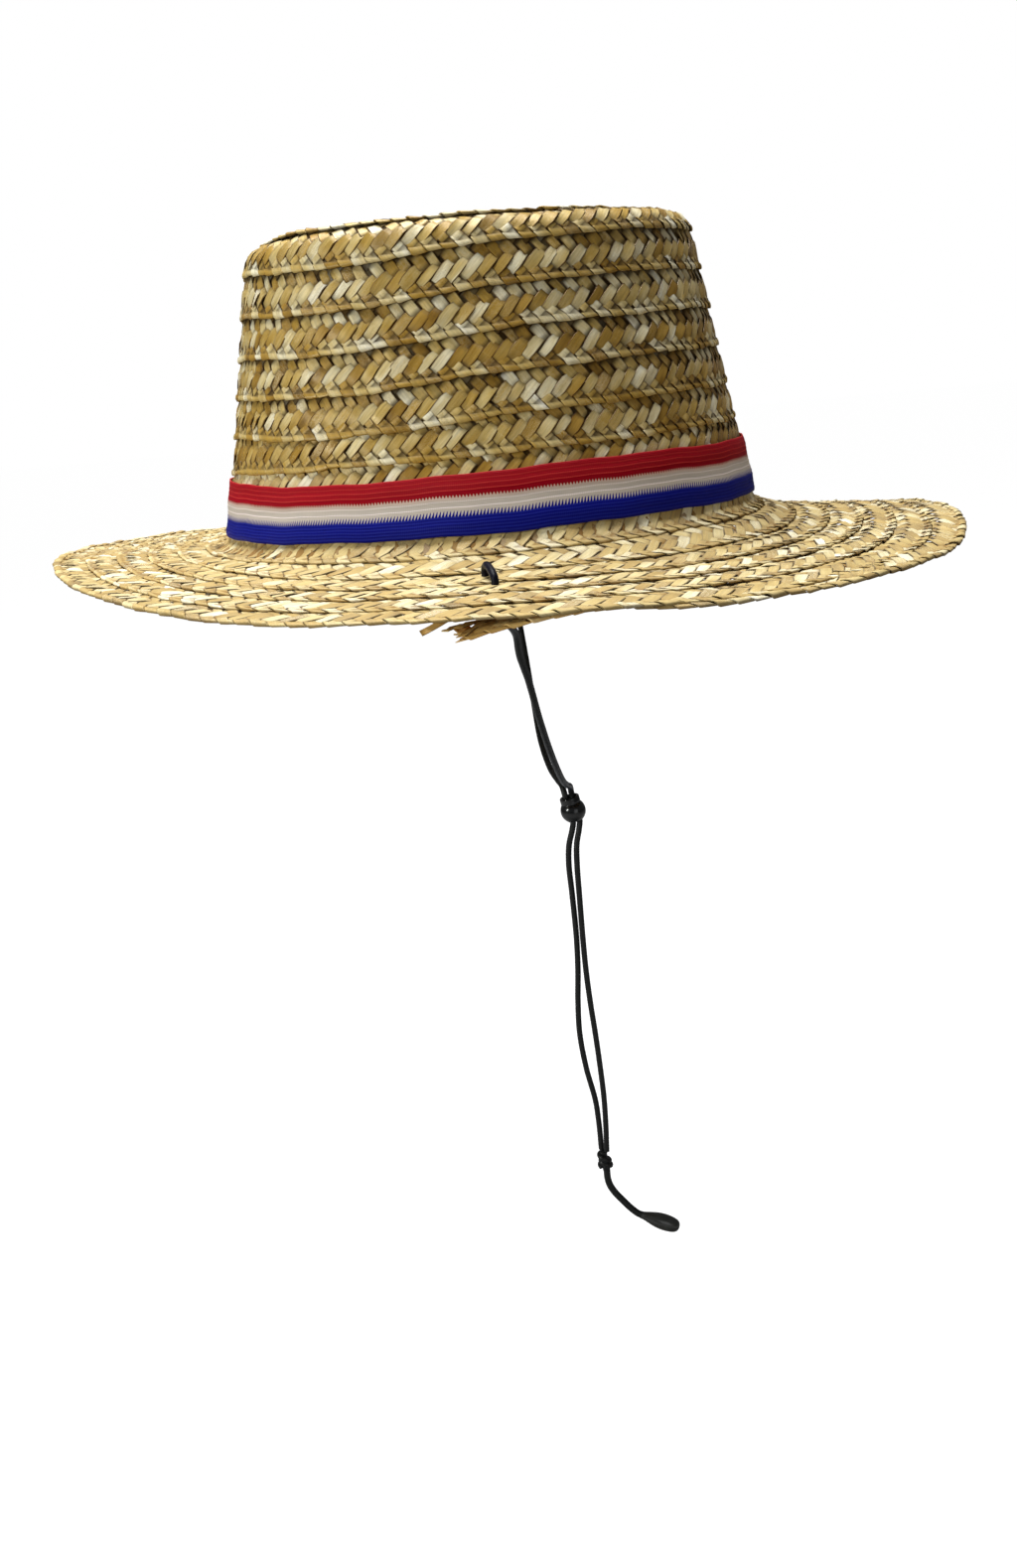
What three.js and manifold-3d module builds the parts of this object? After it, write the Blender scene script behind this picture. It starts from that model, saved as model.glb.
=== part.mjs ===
// A straw chupalla: a round, flat-topped crown and a wide brim sewn from one long straw plait,
// with a striped ribbon round the crown and a black chin cord held by a bead.
// Millimetres, +Z up. The front of the hat faces -Y and the wearer's right is -X.
// The origin is the middle of the head opening, where the hat sits on a head.

import * as THREE from 'three';
import { mergeVertices } from 'three/addons/utils/BufferGeometryUtils.js';
import Module from 'manifold-3d';

// ---- driving dimensions ----

const SEGMENTS = 64;          // steps round the hat
const OVAL = 12.2;            // how much longer each half oval is front to back than side to side

const CROWN_TOP = 104;        // height of the crown tip over the head opening
const SIDE_RADIUS = 85.6;     // half width of the crown, taken at z = 0
const SIDE_TAPER = 0.1915;    // how much the side leans in for each mm of height
const TIP_CORNER = 8;         // rounding between the tip and the side
const FOOT_CURVE = 5;         // hollow rounding between the side and the brim
const FOOT_HEIGHT = 4;        // top of the straw where the crown ends
const FOOT_RADIUS = 90.5;     // half width of the crown's last round

const CROWN_ROW = 13.06;      // straw showing in a round of the tip and the side
const FIRST_ROW = 6.9;        // half width of the flat middle of the tip
const UPPER_ROUNDS = 10;      // rounds after the middle, down to those at the foot
const FOOT_ROUNDS = 3;
const ROW_RISE = 0.2;         // lower edge of each round, over the mean outside
const ROW_SINK = -1.1;        // upper edge of each round, tucked under its neighbour
const CROWN_INSIDE = -2.4;    // inside face, under the mean outside
const FOOT_INSIDE = -1.5;     // the same at the foot, where one plait lies alone

const BRIM_ROUNDS = 5;
const BRIM_INNER = 87.5;      // the brim starts under the crown's last round
const BRIM_RADIUS = 152.3;    // half width of the brim at the wearer's right
const BRIM_OVAL = 3;          // the brim's edge is rounder than the crown
const BRIM_GROWTH = 23;       // how far the spiral would have grown after one turn
const BRIM_MEAN = 2.95;       // height of the brim's middle surface at the crown
const BRIM_RISE = 0.75;       // how far a round's outer edge stands over the middle surface
const BRIM_UNDER = -1.9;
const BRIM_DROP = 6.8;        // fall from the crown to the edge, as an average
const FRONT_DIP = 5.9;        // the front falls by this much more, the back by as much less
const SIDE_DIP = 1.8;         // the two sides fall by this much more
const EDGE_WAVES = [           // hand-made unevenness of the edge: where, how wide, how far up
  { at: -87, spread: 17, rise: 4.0 },
  { at: -124, spread: 12, rise: -1.2 },
  { at: 152, spread: 22, rise: -2.0 },
];
const TILT_START = 84;        // the fall begins in the foot of the crown
const FLARE = 1.6;            // how much faster the brim falls close to the crown

const BAND_BOTTOM = 8;
const BAND_TOP = 27;
const BAND_THICKNESS = 1;
const BAND_CLEARANCE = 0.5;

const GAP = 0.3;
const CORD = 2.4;             // diameter of the chin cord
const TAIL_CORD = 3;          // below the tail knot the two cords are drawn into one
const HOLE = 3.8;             // diameter of each hole for it in the brim
const CORD_SIDES = 8;
const HOLE_NEAR = { x: 108, y: 3 };       // the two holes that the cord loop stands in
const HOLE_FAR = { x: 118, y: -0.8 };
const LOOP_HEIGHT = 3.9;      // middle of the cord over the straw, at the top of the loop
const LEG_LENGTH = 3.6;       // cord showing under the brim, down to its knot

const BEAD_CENTRE = new THREE.Vector3(0, -22.2, -111.5);
const BEAD_TILT = 12;         // degrees that the top of the bead leans back
const BEAD_RADIUS = 5;
const BEAD_NECK = 3.9;
const BEAD_BORE = 2.95;
const STRAND_OFFSET = 1.36;   // from the middle of the bead to the middle of each cord

const TAIL_KNOT = { centre: new THREE.Vector3(0, -24.6, -268.5), wide: 3.5, tall: 4.6 };
const DROP_START = new THREE.Vector3(0, -37.7, -295.9);
const DROP_END = new THREE.Vector3(0, -54.1, -303.6);

// ---- materials ----

const straw = new THREE.MeshStandardMaterial({ color: 0xcbb478, roughness: 0.55, metalness: 0 });
const strawDark = new THREE.MeshStandardMaterial({ color: 0xb79c5e, roughness: 0.6, metalness: 0 });
const ribbon = new THREE.MeshStandardMaterial({ color: 0xc4142c, roughness: 0.7, metalness: 0 });
const cordBlack = new THREE.MeshStandardMaterial({ color: 0x15151a, roughness: 0.8, metalness: 0 });
const beadBlack = new THREE.MeshStandardMaterial({ color: 0x0d0d10, roughness: 0.25, metalness: 0 });

// ---- the brim's fall and outline ----

function smooth(low, high, value) {
  const t = THREE.MathUtils.clamp((value - low) / (high - low), 0, 1);
  return t * t * (3 - 2 * t);
}

// How much higher than the even curve the brim's edge stands at an angle.
function waveAt(angle) {
  let rise = 0;
  for (const wave of EDGE_WAVES) {
    const turned = THREE.MathUtils.euclideanModulo(angle * THREE.MathUtils.RAD2DEG - wave.at + 180, 360) - 180;
    rise += wave.rise * Math.exp(-((turned / wave.spread) ** 2));
  }
  return rise;
}

// Fall of the brim's edge under the foot of the crown, at an angle measured from +X.
function dropAt(angle) {
  return BRIM_DROP - FRONT_DIP * Math.sin(angle) + SIDE_DIP * Math.cos(2 * angle) - waveAt(angle);
}

// The spiral grows from the wearer's right round the back and the left to the front,
// and its last quarter turn slides back under the round before it.
function brimRadius(angle) {
  const turn = THREE.MathUtils.euclideanModulo(Math.PI - angle, 2 * Math.PI) / (2 * Math.PI);
  return BRIM_RADIUS + BRIM_GROWTH * turn ** 1.8 * (1 - smooth(0.72, 1, turn));
}

// Half the oval's extra length, front to back, of the round at a half width.
function ovalAt(radius) {
  const share = THREE.MathUtils.clamp((radius - FOOT_RADIUS) / (BRIM_RADIUS - FOOT_RADIUS), 0, 1);
  return THREE.MathUtils.lerp(OVAL, BRIM_OVAL, share);
}

// How far the straw falls at a distance from the middle, from the crown's foot outwards.
function fallAt(radius, angle) {
  const span = BRIM_RADIUS - FOOT_RADIUS;
  const slope = dropAt(angle) * (1 + FLARE) / span;
  const start = THREE.MathUtils.clamp(radius, TILT_START, FOOT_RADIUS) - TILT_START;
  const footFall = slope * start * start / (2 * (FOOT_RADIUS - TILT_START));
  const t = Math.max(0, radius - FOOT_RADIUS) / span;
  return footFall + dropAt(angle) * (t + FLARE * t * Math.max(0, 1 - t) ** 3);
}

// ---- the crown's profile, by distance along it from the middle of the tip ----

const lean = Math.atan(SIDE_TAPER);
const turnAngle = Math.PI / 2 - lean;

function sideRadius(z) {
  return SIDE_RADIUS - SIDE_TAPER * z;
}

const cornerEnd = CROWN_TOP - TIP_CORNER + TIP_CORNER * Math.sin(lean);
const tipFlat = sideRadius(cornerEnd) - TIP_CORNER * Math.cos(lean);
const footStart = FOOT_HEIGHT + FOOT_CURVE * (1 - Math.sin(lean));
const footCentre = sideRadius(footStart) + FOOT_CURVE * Math.cos(lean);
const sideBegin = tipFlat + TIP_CORNER * turnAngle;
const sideLength = (cornerEnd - footStart) / Math.cos(lean);
const footBegin = sideBegin + sideLength;
const footEnd = footBegin + FOOT_CURVE * turnAngle;
const crownEnd = footEnd + FOOT_RADIUS - footCentre;

// A point of the profile: radius, height, and the turn of its outward side from straight up.
function crownPoint(distance) {
  if (distance < tipFlat) {
    return { r: distance, z: CROWN_TOP, turn: 0 };
  }
  if (distance < sideBegin) {
    const turn = (distance - tipFlat) / TIP_CORNER;
    const r = tipFlat + TIP_CORNER * Math.sin(turn);
    return { r, z: CROWN_TOP - TIP_CORNER * (1 - Math.cos(turn)), turn };
  }
  if (distance < footBegin) {
    const z = cornerEnd - (distance - sideBegin) * Math.cos(lean);
    return { r: sideRadius(z), z, turn: turnAngle };
  }
  if (distance < footEnd) {
    const turn = (footEnd - distance) / FOOT_CURVE;
    const r = footCentre - FOOT_CURVE * Math.sin(turn);
    return { r, z: FOOT_HEIGHT + FOOT_CURVE * (1 - Math.cos(turn)), turn };
  }
  return { r: footCentre + distance - footEnd, z: FOOT_HEIGHT, turn: 0 };
}

function crownOffset(distance, offset) {
  const point = crownPoint(distance);
  const r = point.r + offset * Math.sin(point.turn);
  return new THREE.Vector2(Math.max(0, r), point.z + offset * Math.cos(point.turn));
}

// ---- solids ----

// Turns a closed profile round the axis, then spreads it into an oval with the brim's fall.
function ovalLathe(profile, placeVertex) {
  const geometry = new THREE.LatheGeometry(profile, SEGMENTS);
  const position = geometry.getAttribute('position');
  const rows = profile.length;
  for (let i = 0; i < position.count; i += 1) {
    const angle = 2 * Math.PI * Math.floor(i / rows) / SEGMENTS;
    const point = profile[i % rows];
    const { r, z } = placeVertex(point.x, point.y, angle);
    position.setXYZ(i, r * Math.cos(angle), (r + ovalAt(r)) * Math.sin(angle), z);
  }
  return finish(geometry);
}

// Keeps the positions only, joins equal ones and makes fresh normals.
function finish(geometry) {
  geometry.deleteAttribute('normal');
  geometry.deleteAttribute('uv');
  const merged = mergeVertices(geometry, 0.0005);
  merged.computeVertexNormals();
  return merged;
}

function crownRowEdges() {
  const edges = [FIRST_ROW];
  for (let i = 0; i < UPPER_ROUNDS; i += 1) {
    edges.push(edges[edges.length - 1] + CROWN_ROW);
  }
  const rest = crownEnd - edges[edges.length - 1];
  for (let i = 1; i <= FOOT_ROUNDS; i += 1) {
    edges.push(edges[UPPER_ROUNDS] + rest * i / FOOT_ROUNDS);
  }
  return edges;
}

// Distances to use inside a round: more of them where the profile is curved.
function samplesBetween(start, end) {
  const bends = [tipFlat, (tipFlat + sideBegin) / 2, sideBegin,
    footBegin, (footBegin + footEnd) / 2, footEnd];
  return bends.filter((s) => s > start + 0.8 && s < end - 0.8);
}

function crownGeometry() {
  const edges = crownRowEdges();
  const outside = [crownOffset(0, ROW_RISE), crownOffset(edges[0], ROW_RISE)];
  for (let i = 1; i < edges.length; i += 1) {
    const start = edges[i - 1];
    const end = edges[i];
    const along = [start, ...samplesBetween(start, end), end];
    for (const s of along) {
      const rise = THREE.MathUtils.mapLinear(s, start, end, ROW_SINK, ROW_RISE);
      outside.push(crownOffset(s, rise));
    }
  }
  const inside = [crownOffset(crownEnd, FOOT_INSIDE)];
  const footMiddle = (footBegin + footEnd) / 2;
  inside.push(crownOffset(footEnd, FOOT_INSIDE));
  inside.push(crownOffset(footMiddle, (FOOT_INSIDE + CROWN_INSIDE) / 2));
  const sideMiddle = (footBegin + sideBegin) / 2;
  for (const s of [footBegin, sideMiddle, sideBegin, (sideBegin + tipFlat) / 2, tipFlat, 0]) {
    inside.push(crownOffset(s, CROWN_INSIDE));
  }
  const profile = [...outside, ...inside].reverse();
  return ovalLathe(profile, (r, z, angle) => ({ r, z: z - fallAt(r, angle) }));
}

// The brim's profile is laid out flat: x is the share of the way from crown to edge.
function brimProfile() {
  const inner = (BRIM_INNER - FOOT_RADIUS) / (BRIM_RADIUS - FOOT_RADIUS);
  const top = [new THREE.Vector2(inner, -BRIM_RISE), new THREE.Vector2(0, -BRIM_RISE)];
  for (let i = 1; i <= BRIM_ROUNDS; i += 1) {
    const share = i / BRIM_ROUNDS;
    top.push(new THREE.Vector2(share, BRIM_RISE));
    if (i < BRIM_ROUNDS) {
      top.push(new THREE.Vector2(share, -BRIM_RISE));
    }
  }
  const under = [];
  for (let i = BRIM_ROUNDS; i >= 0; i -= 1) {
    under.push(new THREE.Vector2(i / BRIM_ROUNDS, BRIM_UNDER));
  }
  under.push(new THREE.Vector2(inner, BRIM_UNDER));
  return [...top, ...under, top[0].clone()].reverse();
}

function brimPlace(share, offset, angle) {
  const reach = share < 0 ? BRIM_RADIUS - FOOT_RADIUS : brimRadius(angle) - FOOT_RADIUS;
  const flatRadius = FOOT_RADIUS + share * (BRIM_RADIUS - FOOT_RADIUS);
  return { r: FOOT_RADIUS + share * reach, z: BRIM_MEAN + offset - fallAt(flatRadius, angle) };
}

// Height of the brim's middle surface over a point of the ground plan.
function brimHeight(x, y) {
  let angle = Math.atan2(y, x);
  let r = Math.hypot(x, y);
  for (let i = 0; i < 8; i += 1) {
    const round = y - ovalAt(r) * Math.sin(angle);
    r = Math.hypot(x, round);
    angle = Math.atan2(round, x);
  }
  const share = (r - FOOT_RADIUS) / (brimRadius(angle) - FOOT_RADIUS);
  return brimPlace(share, 0, angle).z;
}

const wasm = await Module();
wasm.setup();

function toManifold(geometry) {
  return new wasm.Manifold(new wasm.Mesh({
    numProp: 3,
    vertProperties: new Float32Array(geometry.getAttribute('position').array),
    triVerts: new Uint32Array(geometry.getIndex().array),
  }));
}

function fromManifold(solid) {
  const mesh = solid.getMesh();
  const geometry = new THREE.BufferGeometry();
  geometry.setAttribute('position', new THREE.BufferAttribute(mesh.vertProperties, 3));
  geometry.setIndex(new THREE.BufferAttribute(mesh.triVerts, 1));
  geometry.computeVertexNormals();
  return geometry;
}

function holeCutter(x, y) {
  const cutter = new THREE.CylinderGeometry(HOLE / 2, HOLE / 2, 12, 12);
  cutter.rotateX(Math.PI / 2);
  cutter.translate(x, y, brimHeight(x, y));
  return toManifold(finish(cutter));
}

function brimGeometry() {
  let solid = toManifold(ovalLathe(brimProfile(), brimPlace));
  for (const side of [-1, 1]) {
    for (const hole of [HOLE_NEAR, HOLE_FAR]) {
      solid = solid.subtract(holeCutter(side * hole.x, hole.y));
    }
  }
  return fromManifold(solid);
}

function bandGeometry() {
  const edge = BAND_THICKNESS * 0.3;
  const inner = (z) => sideRadius(z) + ROW_RISE + BAND_CLEARANCE;
  const outer = (z) => inner(z) + BAND_THICKNESS;
  const profile = [
    new THREE.Vector2(inner(BAND_BOTTOM), BAND_BOTTOM),
    new THREE.Vector2(outer(BAND_BOTTOM) - edge, BAND_BOTTOM),
    new THREE.Vector2(outer(BAND_BOTTOM + edge), BAND_BOTTOM + edge),
    new THREE.Vector2(outer(BAND_TOP - edge), BAND_TOP - edge),
    new THREE.Vector2(outer(BAND_TOP) - edge, BAND_TOP),
    new THREE.Vector2(inner(BAND_TOP), BAND_TOP),
    new THREE.Vector2(inner(BAND_BOTTOM), BAND_BOTTOM),
  ];
  return ovalLathe(profile, (r, z) => ({ r, z }));
}

// The end of the plait, tucked under the edge at the wearer's right and frayed.
function plaitEndGeometry() {
  const stations = [
    { y: -24, inner: -139.5, outer: -149.6, fall: 0 },
    { y: -14, inner: -139.5, outer: -151.0, fall: 0.5 },
    { y: -4, inner: -140.0, outer: -151.8, fall: 1.7 },
    { y: 4, inner: -141.0, outer: -152.2, fall: 2.8 },
    { y: 12, inner: -142.5, outer: -152.2, fall: 3.6 },
  ];
  const thickness = 1.4;
  const vertices = [];
  for (const { y, inner, outer, fall } of stations) {
    const top = brimHeight(inner, y) + BRIM_UNDER - GAP;
    const low = brimHeight(Math.max(outer, -150.5), y) + BRIM_UNDER - GAP - fall;
    vertices.push([inner, y, top], [outer, y, low], [outer, y, low - thickness], [inner, y, top - thickness]);
  }
  const faces = [[0, 1, 2], [0, 2, 3]];
  const last = 4 * (stations.length - 1);
  faces.push([last, last + 2, last + 1], [last, last + 3, last + 2]);
  for (let i = 0; i < stations.length - 1; i += 1) {
    for (let j = 0; j < 4; j += 1) {
      const a = 4 * i + j;
      const b = 4 * i + (j + 1) % 4;
      faces.push([a, a + 4, b + 4], [a, b + 4, b]);
    }
  }
  const geometry = new THREE.BufferGeometry();
  geometry.setAttribute('position', new THREE.Float32BufferAttribute(vertices.flat(), 3));
  geometry.setIndex(faces.flat());
  geometry.computeVertexNormals();
  return geometry;
}

// ---- cords ----

function roundSection(radius) {
  const section = new THREE.Shape();
  for (let i = 0; i < CORD_SIDES; i += 1) {
    const angle = 2 * Math.PI * i / CORD_SIDES;
    const x = radius * Math.cos(angle);
    const y = radius * Math.sin(angle);
    if (i === 0) {
      section.moveTo(x, y);
    } else {
      section.lineTo(x, y);
    }
  }
  section.closePath();
  return section;
}

function tubeGeometry(points, steps, diameter = CORD) {
  const path = new THREE.CatmullRomCurve3(points.map((p) => new THREE.Vector3(...p)), false, 'centripetal');
  const options = { steps, bevelEnabled: false, extrudePath: path };
  return finish(new THREE.ExtrudeGeometry(roundSection(diameter / 2), options));
}

const holeMiddle = { x: (HOLE_NEAR.x + HOLE_FAR.x) / 2, y: (HOLE_NEAR.y + HOLE_FAR.y) / 2 };
const KNOT = { wide: 4.2, deep: 3.4, tall: 3 };

function knotHeight(side) {
  const under = brimHeight(side * holeMiddle.x, holeMiddle.y) + BRIM_UNDER;
  return under - LEG_LENGTH - GAP - KNOT.tall;
}

// The cord comes up through one hole, stands over the straw and goes down through the other.
function loopPoints(side) {
  const near = { x: side * HOLE_NEAR.x, y: HOLE_NEAR.y };
  const far = { x: side * HOLE_FAR.x, y: HOLE_FAR.y };
  const nearTop = brimHeight(near.x, near.y) + BRIM_RISE;
  const farTop = brimHeight(far.x, far.y) + BRIM_RISE;
  const legEnd = knotHeight(side) + KNOT.tall + GAP;
  const blend = (share, z) => [
    THREE.MathUtils.lerp(near.x, far.x, share), THREE.MathUtils.lerp(near.y, far.y, share), z];
  return [
    blend(0.27, legEnd),
    blend(0.06, nearTop - 3.4),
    blend(0, nearTop - 2),
    blend(0, nearTop),
    blend(0.02, nearTop + LOOP_HEIGHT - 1.6),
    blend(0.2, nearTop + LOOP_HEIGHT),
    blend(0.55, nearTop + LOOP_HEIGHT - 0.9),
    blend(0.9, farTop + LOOP_HEIGHT - 2),
    blend(1, farTop),
    blend(1, farTop - 2),
    blend(0.94, farTop - 3.4),
    blend(0.73, legEnd),
  ];
}

function knotGeometry(side) {
  const geometry = new THREE.SphereGeometry(1, 12, 8);
  geometry.rotateX(Math.PI / 2);
  geometry.scale(KNOT.wide, KNOT.deep, KNOT.tall);
  geometry.translate(side * holeMiddle.x, holeMiddle.y, knotHeight(side));
  return finish(geometry);
}

const tiltBack = THREE.MathUtils.degToRad(BEAD_TILT);
const boreAxis = new THREE.Vector3(0, Math.sin(tiltBack), Math.cos(tiltBack));
const strandSide = new THREE.Vector3(0, Math.cos(tiltBack), -Math.sin(tiltBack));

// A point of a strand inside the bead: along is measured up the bore from the middle.
function inBead(along, strand) {
  const point = BEAD_CENTRE.clone().addScaledVector(boreAxis, along);
  return point.addScaledVector(strandSide, strand * STRAND_OFFSET).toArray();
}

// The wearer's right cord, from its knot round the cheek, through the bead and down.
const rightCordPoints = [
  [-109.2, 0.9, knotHeight(-1) - 1.95], [-104.5, -1.6, -16.2], [-98.5, -3.9, -19.4],
  [-91.5, -5.6, -23.6], [-84.5, -6.2, -31.5], [-77.0, -8.4, -41.5], [-66.0, -11.0, -57.0],
  [-51.0, -14.2, -73.4], [-31.0, -18.0, -89.4], [-14.5, -20.4, -96.8], [-5.4, -21.4, -99.8],
  [-1.4, -21.8, -101.9], inBead(7.2, -1), inBead(3.4, -1), inBead(-0.6, -1), inBead(-4.6, -1),
  [-0.2, -24.0, -119.2], [-0.6, -22.6, -125.5], [-1.0, -22.1, -134.0],
  [-1.1, -22.1, -147.0], [-1.1, -22.2, -166.0], [-1.1, -22.5, -180.0], [-1.0, -23.3, -194.5],
  [-0.7, -24.4, -208.5], [-0.5, -25.4, -224.5], [-0.9, -26.0, -238.0], [-1.1, -25.9, -252.0], [-1.1, -25.5, -263.3],
];

// The left cord goes the plain way round, mirrored, and comes to the bead from behind.
const leftCordPoints = [
  [109.2, 0.9, knotHeight(1) - 1.95], [104.5, -1.4, -16.0], [98.5, -3.6, -19.4],
  [91.5, -5.0, -23.8], [84.5, -5.6, -32.0], [77.0, -7.0, -43.0], [66.0, -8.8, -59.5],
  [51.0, -10.4, -76.0], [34.0, -12.0, -90.6], [17.0, -14.8, -98.4], [7.0, -17.2, -100.6],
  [2.0, -18.7, -101.9], inBead(7.2, 1), inBead(3.4, 1), inBead(-0.6, 1), inBead(-4.6, 1),
  [0.2, -21.2, -119.8], [0.6, -19.6, -125.8], [1.0, -18.9, -134.0],
  [1.1, -19.3, -147.0], [1.1, -19.7, -166.0], [1.1, -19.3, -180.0], [1.0, -18.3, -194.5],
  [0.8, -18.0, -208.5], [0.7, -19.6, -224.5], [0.9, -22.4, -240.0], [1.1, -23.2, -252.0], [1.1, -23.4, -263.3],
];

const tailEndPoints = [
  [0, -25.0, -273.6], [0, -25.1, -276.8], [0, -25.8, -280.2], [0, -27.6, -283.9],
  [0, -31.4, -289.1], [0, -34.4, -292.8], [0, -37.05, -295.4],
];

function beadGeometry() {
  const outline = [new THREE.Vector2(BEAD_BORE, -4.1)];
  for (let degrees = -52; degrees <= 40; degrees += 15) {
    const angle = THREE.MathUtils.degToRad(degrees);
    outline.push(new THREE.Vector2(BEAD_RADIUS * Math.cos(angle), BEAD_RADIUS * Math.sin(angle)));
  }
  outline.push(new THREE.Vector2(BEAD_NECK, 4.3));
  outline.push(new THREE.Vector2(BEAD_NECK, 5.6));
  outline.push(new THREE.Vector2(BEAD_NECK - 0.4, 6));
  outline.push(new THREE.Vector2(BEAD_BORE, 6));
  outline.push(outline[0].clone());
  const geometry = new THREE.LatheGeometry(outline, 20);
  geometry.rotateX(Math.PI / 2);
  return finish(geometry);
}

function tailKnotGeometry() {
  const geometry = new THREE.SphereGeometry(1, 12, 8);
  geometry.rotateX(Math.PI / 2);
  geometry.scale(TAIL_KNOT.wide, TAIL_KNOT.wide, TAIL_KNOT.tall);
  geometry.translate(...TAIL_KNOT.centre.toArray());
  return finish(geometry);
}

// A drop that grows from the cord's width and ends bluntly: share of the length, half width.
const dropOutline = [
  { along: 0, half: TAIL_CORD / 2 },
  { along: 0.12, half: 1.75 },
  { along: 0.26, half: 2.4 },
  { along: 0.42, half: 3.1 },
  { along: 0.58, half: 3.45 },
  { along: 0.74, half: 3.4 },
  { along: 0.88, half: 3.0 },
  { along: 0.96, half: 2.4 },
  { along: 1, half: 1.5 },
];

function dropGeometry() {
  const length = DROP_START.distanceTo(DROP_END);
  const outline = [new THREE.Vector2(0, 0)];
  for (const { along, half } of dropOutline) {
    outline.push(new THREE.Vector2(half, along * length));
  }
  outline.push(new THREE.Vector2(0, length));
  return finish(new THREE.LatheGeometry(outline, 14));
}

// ---- the scene graph ----

function named(name, geometry, material) {
  const mesh = new THREE.Mesh(geometry, material.clone());
  mesh.name = name;
  return mesh;
}

const hat = new THREE.Group();

const body = new THREE.Group();
body.add(named('crown', crownGeometry(), straw));
body.add(named('brim', brimGeometry(), straw));
body.add(named('plait_end', plaitEndGeometry(), strawDark));
body.add(named('hat_band', bandGeometry(), ribbon));
hat.add(body);

const chinCord = new THREE.Group();
for (const { side, word } of [{ side: -1, word: 'right' }, { side: 1, word: 'left' }]) {
  chinCord.add(named(`cord_loop_${word}`, tubeGeometry(loopPoints(side), 26), cordBlack));
  chinCord.add(named(`cord_knot_${word}`, knotGeometry(side), cordBlack));
}
chinCord.add(named('chin_cord_right', tubeGeometry(rightCordPoints, 70), cordBlack));
chinCord.add(named('chin_cord_left', tubeGeometry(leftCordPoints, 70), cordBlack));
const bead = named('cord_bead', beadGeometry(), beadBlack);
bead.position.copy(BEAD_CENTRE);
bead.rotation.x = -tiltBack;
chinCord.add(bead);
chinCord.add(named('tail_knot', tailKnotGeometry(), cordBlack));
chinCord.add(named('tail_end', tubeGeometry(tailEndPoints, 10, TAIL_CORD), cordBlack));
const drop = named('cord_drop', dropGeometry(), beadBlack);
drop.position.copy(DROP_START);
const dropAxis = DROP_END.clone().sub(DROP_START).normalize();
drop.quaternion.setFromUnitVectors(new THREE.Vector3(0, 1, 0), dropAxis);
chinCord.add(drop);
hat.add(chinCord);

export default hat;
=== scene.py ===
import math

import bpy
import numpy as np
from mathutils import Matrix, Vector


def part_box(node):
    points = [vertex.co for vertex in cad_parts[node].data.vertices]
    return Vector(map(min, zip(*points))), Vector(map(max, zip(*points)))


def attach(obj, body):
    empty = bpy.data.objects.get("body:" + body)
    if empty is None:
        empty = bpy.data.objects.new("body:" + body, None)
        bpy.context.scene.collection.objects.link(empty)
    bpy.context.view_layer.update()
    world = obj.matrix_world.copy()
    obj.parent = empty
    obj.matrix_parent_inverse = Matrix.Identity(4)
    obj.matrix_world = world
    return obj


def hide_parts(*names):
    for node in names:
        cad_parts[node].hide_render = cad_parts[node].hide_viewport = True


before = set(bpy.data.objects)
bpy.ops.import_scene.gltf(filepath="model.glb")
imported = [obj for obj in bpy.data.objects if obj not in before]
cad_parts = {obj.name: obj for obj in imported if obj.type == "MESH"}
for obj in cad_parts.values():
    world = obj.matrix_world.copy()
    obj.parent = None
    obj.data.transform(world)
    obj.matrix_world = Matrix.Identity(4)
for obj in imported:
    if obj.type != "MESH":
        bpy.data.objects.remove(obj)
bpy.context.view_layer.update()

# A straw chupalla, worn level: the front is -Y, the wearer's right is -X.
# The hat's sizes are millimetres, turned into metres when a mesh is made;
# the camera, the floor and the lights are placed in metres.
mm = 0.001
rng = np.random.default_rng(7)


# camera: beside the wearer's right cheek, a little above the brim, tipped with the head

cameraSetup = {
    "place": (-0.52198, -0.00581, 0.05291),
    "ahead": (0.96031, 0.01489, -0.27853),
    "tip": -5.06,
    "lens": 49.08,
    "sensor": 36,
    "clip": (0.01, 50),
}


def addObject(name, data):
    obj = bpy.data.objects.new(name, data)
    bpy.context.collection.objects.link(obj)
    return obj


def makeCamera(setup):
    data = bpy.data.cameras.new("camera")
    data.sensor_fit = "HORIZONTAL"
    data.sensor_width = setup["sensor"]
    data.lens = setup["lens"]
    data.clip_start, data.clip_end = setup["clip"]
    ahead = Vector(setup["ahead"]).normalized()
    side = ahead.cross(Vector((0, 0, 1))).normalized()
    above = side.cross(ahead)
    tip = math.radians(setup["tip"])
    right = side * math.cos(tip) + above * math.sin(tip)
    up = right.cross(ahead)
    turn = Matrix((right, up, -ahead)).transposed()
    obj = addObject("camera", data)
    obj.matrix_world = Matrix.Translation(setup["place"]) @ turn.to_4x4()
    bpy.context.scene.camera = obj


makeCamera(cameraSetup)
print("camera placed")


# mesh helpers

def smoothStep(low, high, value):
    t = np.clip((value - low) / (high - low), 0, 1)
    return t * t * (3 - 2 * t)


def signedVolume(points, quads):
    a, b, c, d = (points[quads[:, i]] for i in range(4))
    return (np.cross(a, b) * c).sum() + (np.cross(a, c) * d).sum()


def addLayer(mesh, name, kind, field, values):
    layer = mesh.attributes.new(name, kind, "POINT")
    layer.data.foreach_set(field, values.astype(np.float32).ravel())


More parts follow.
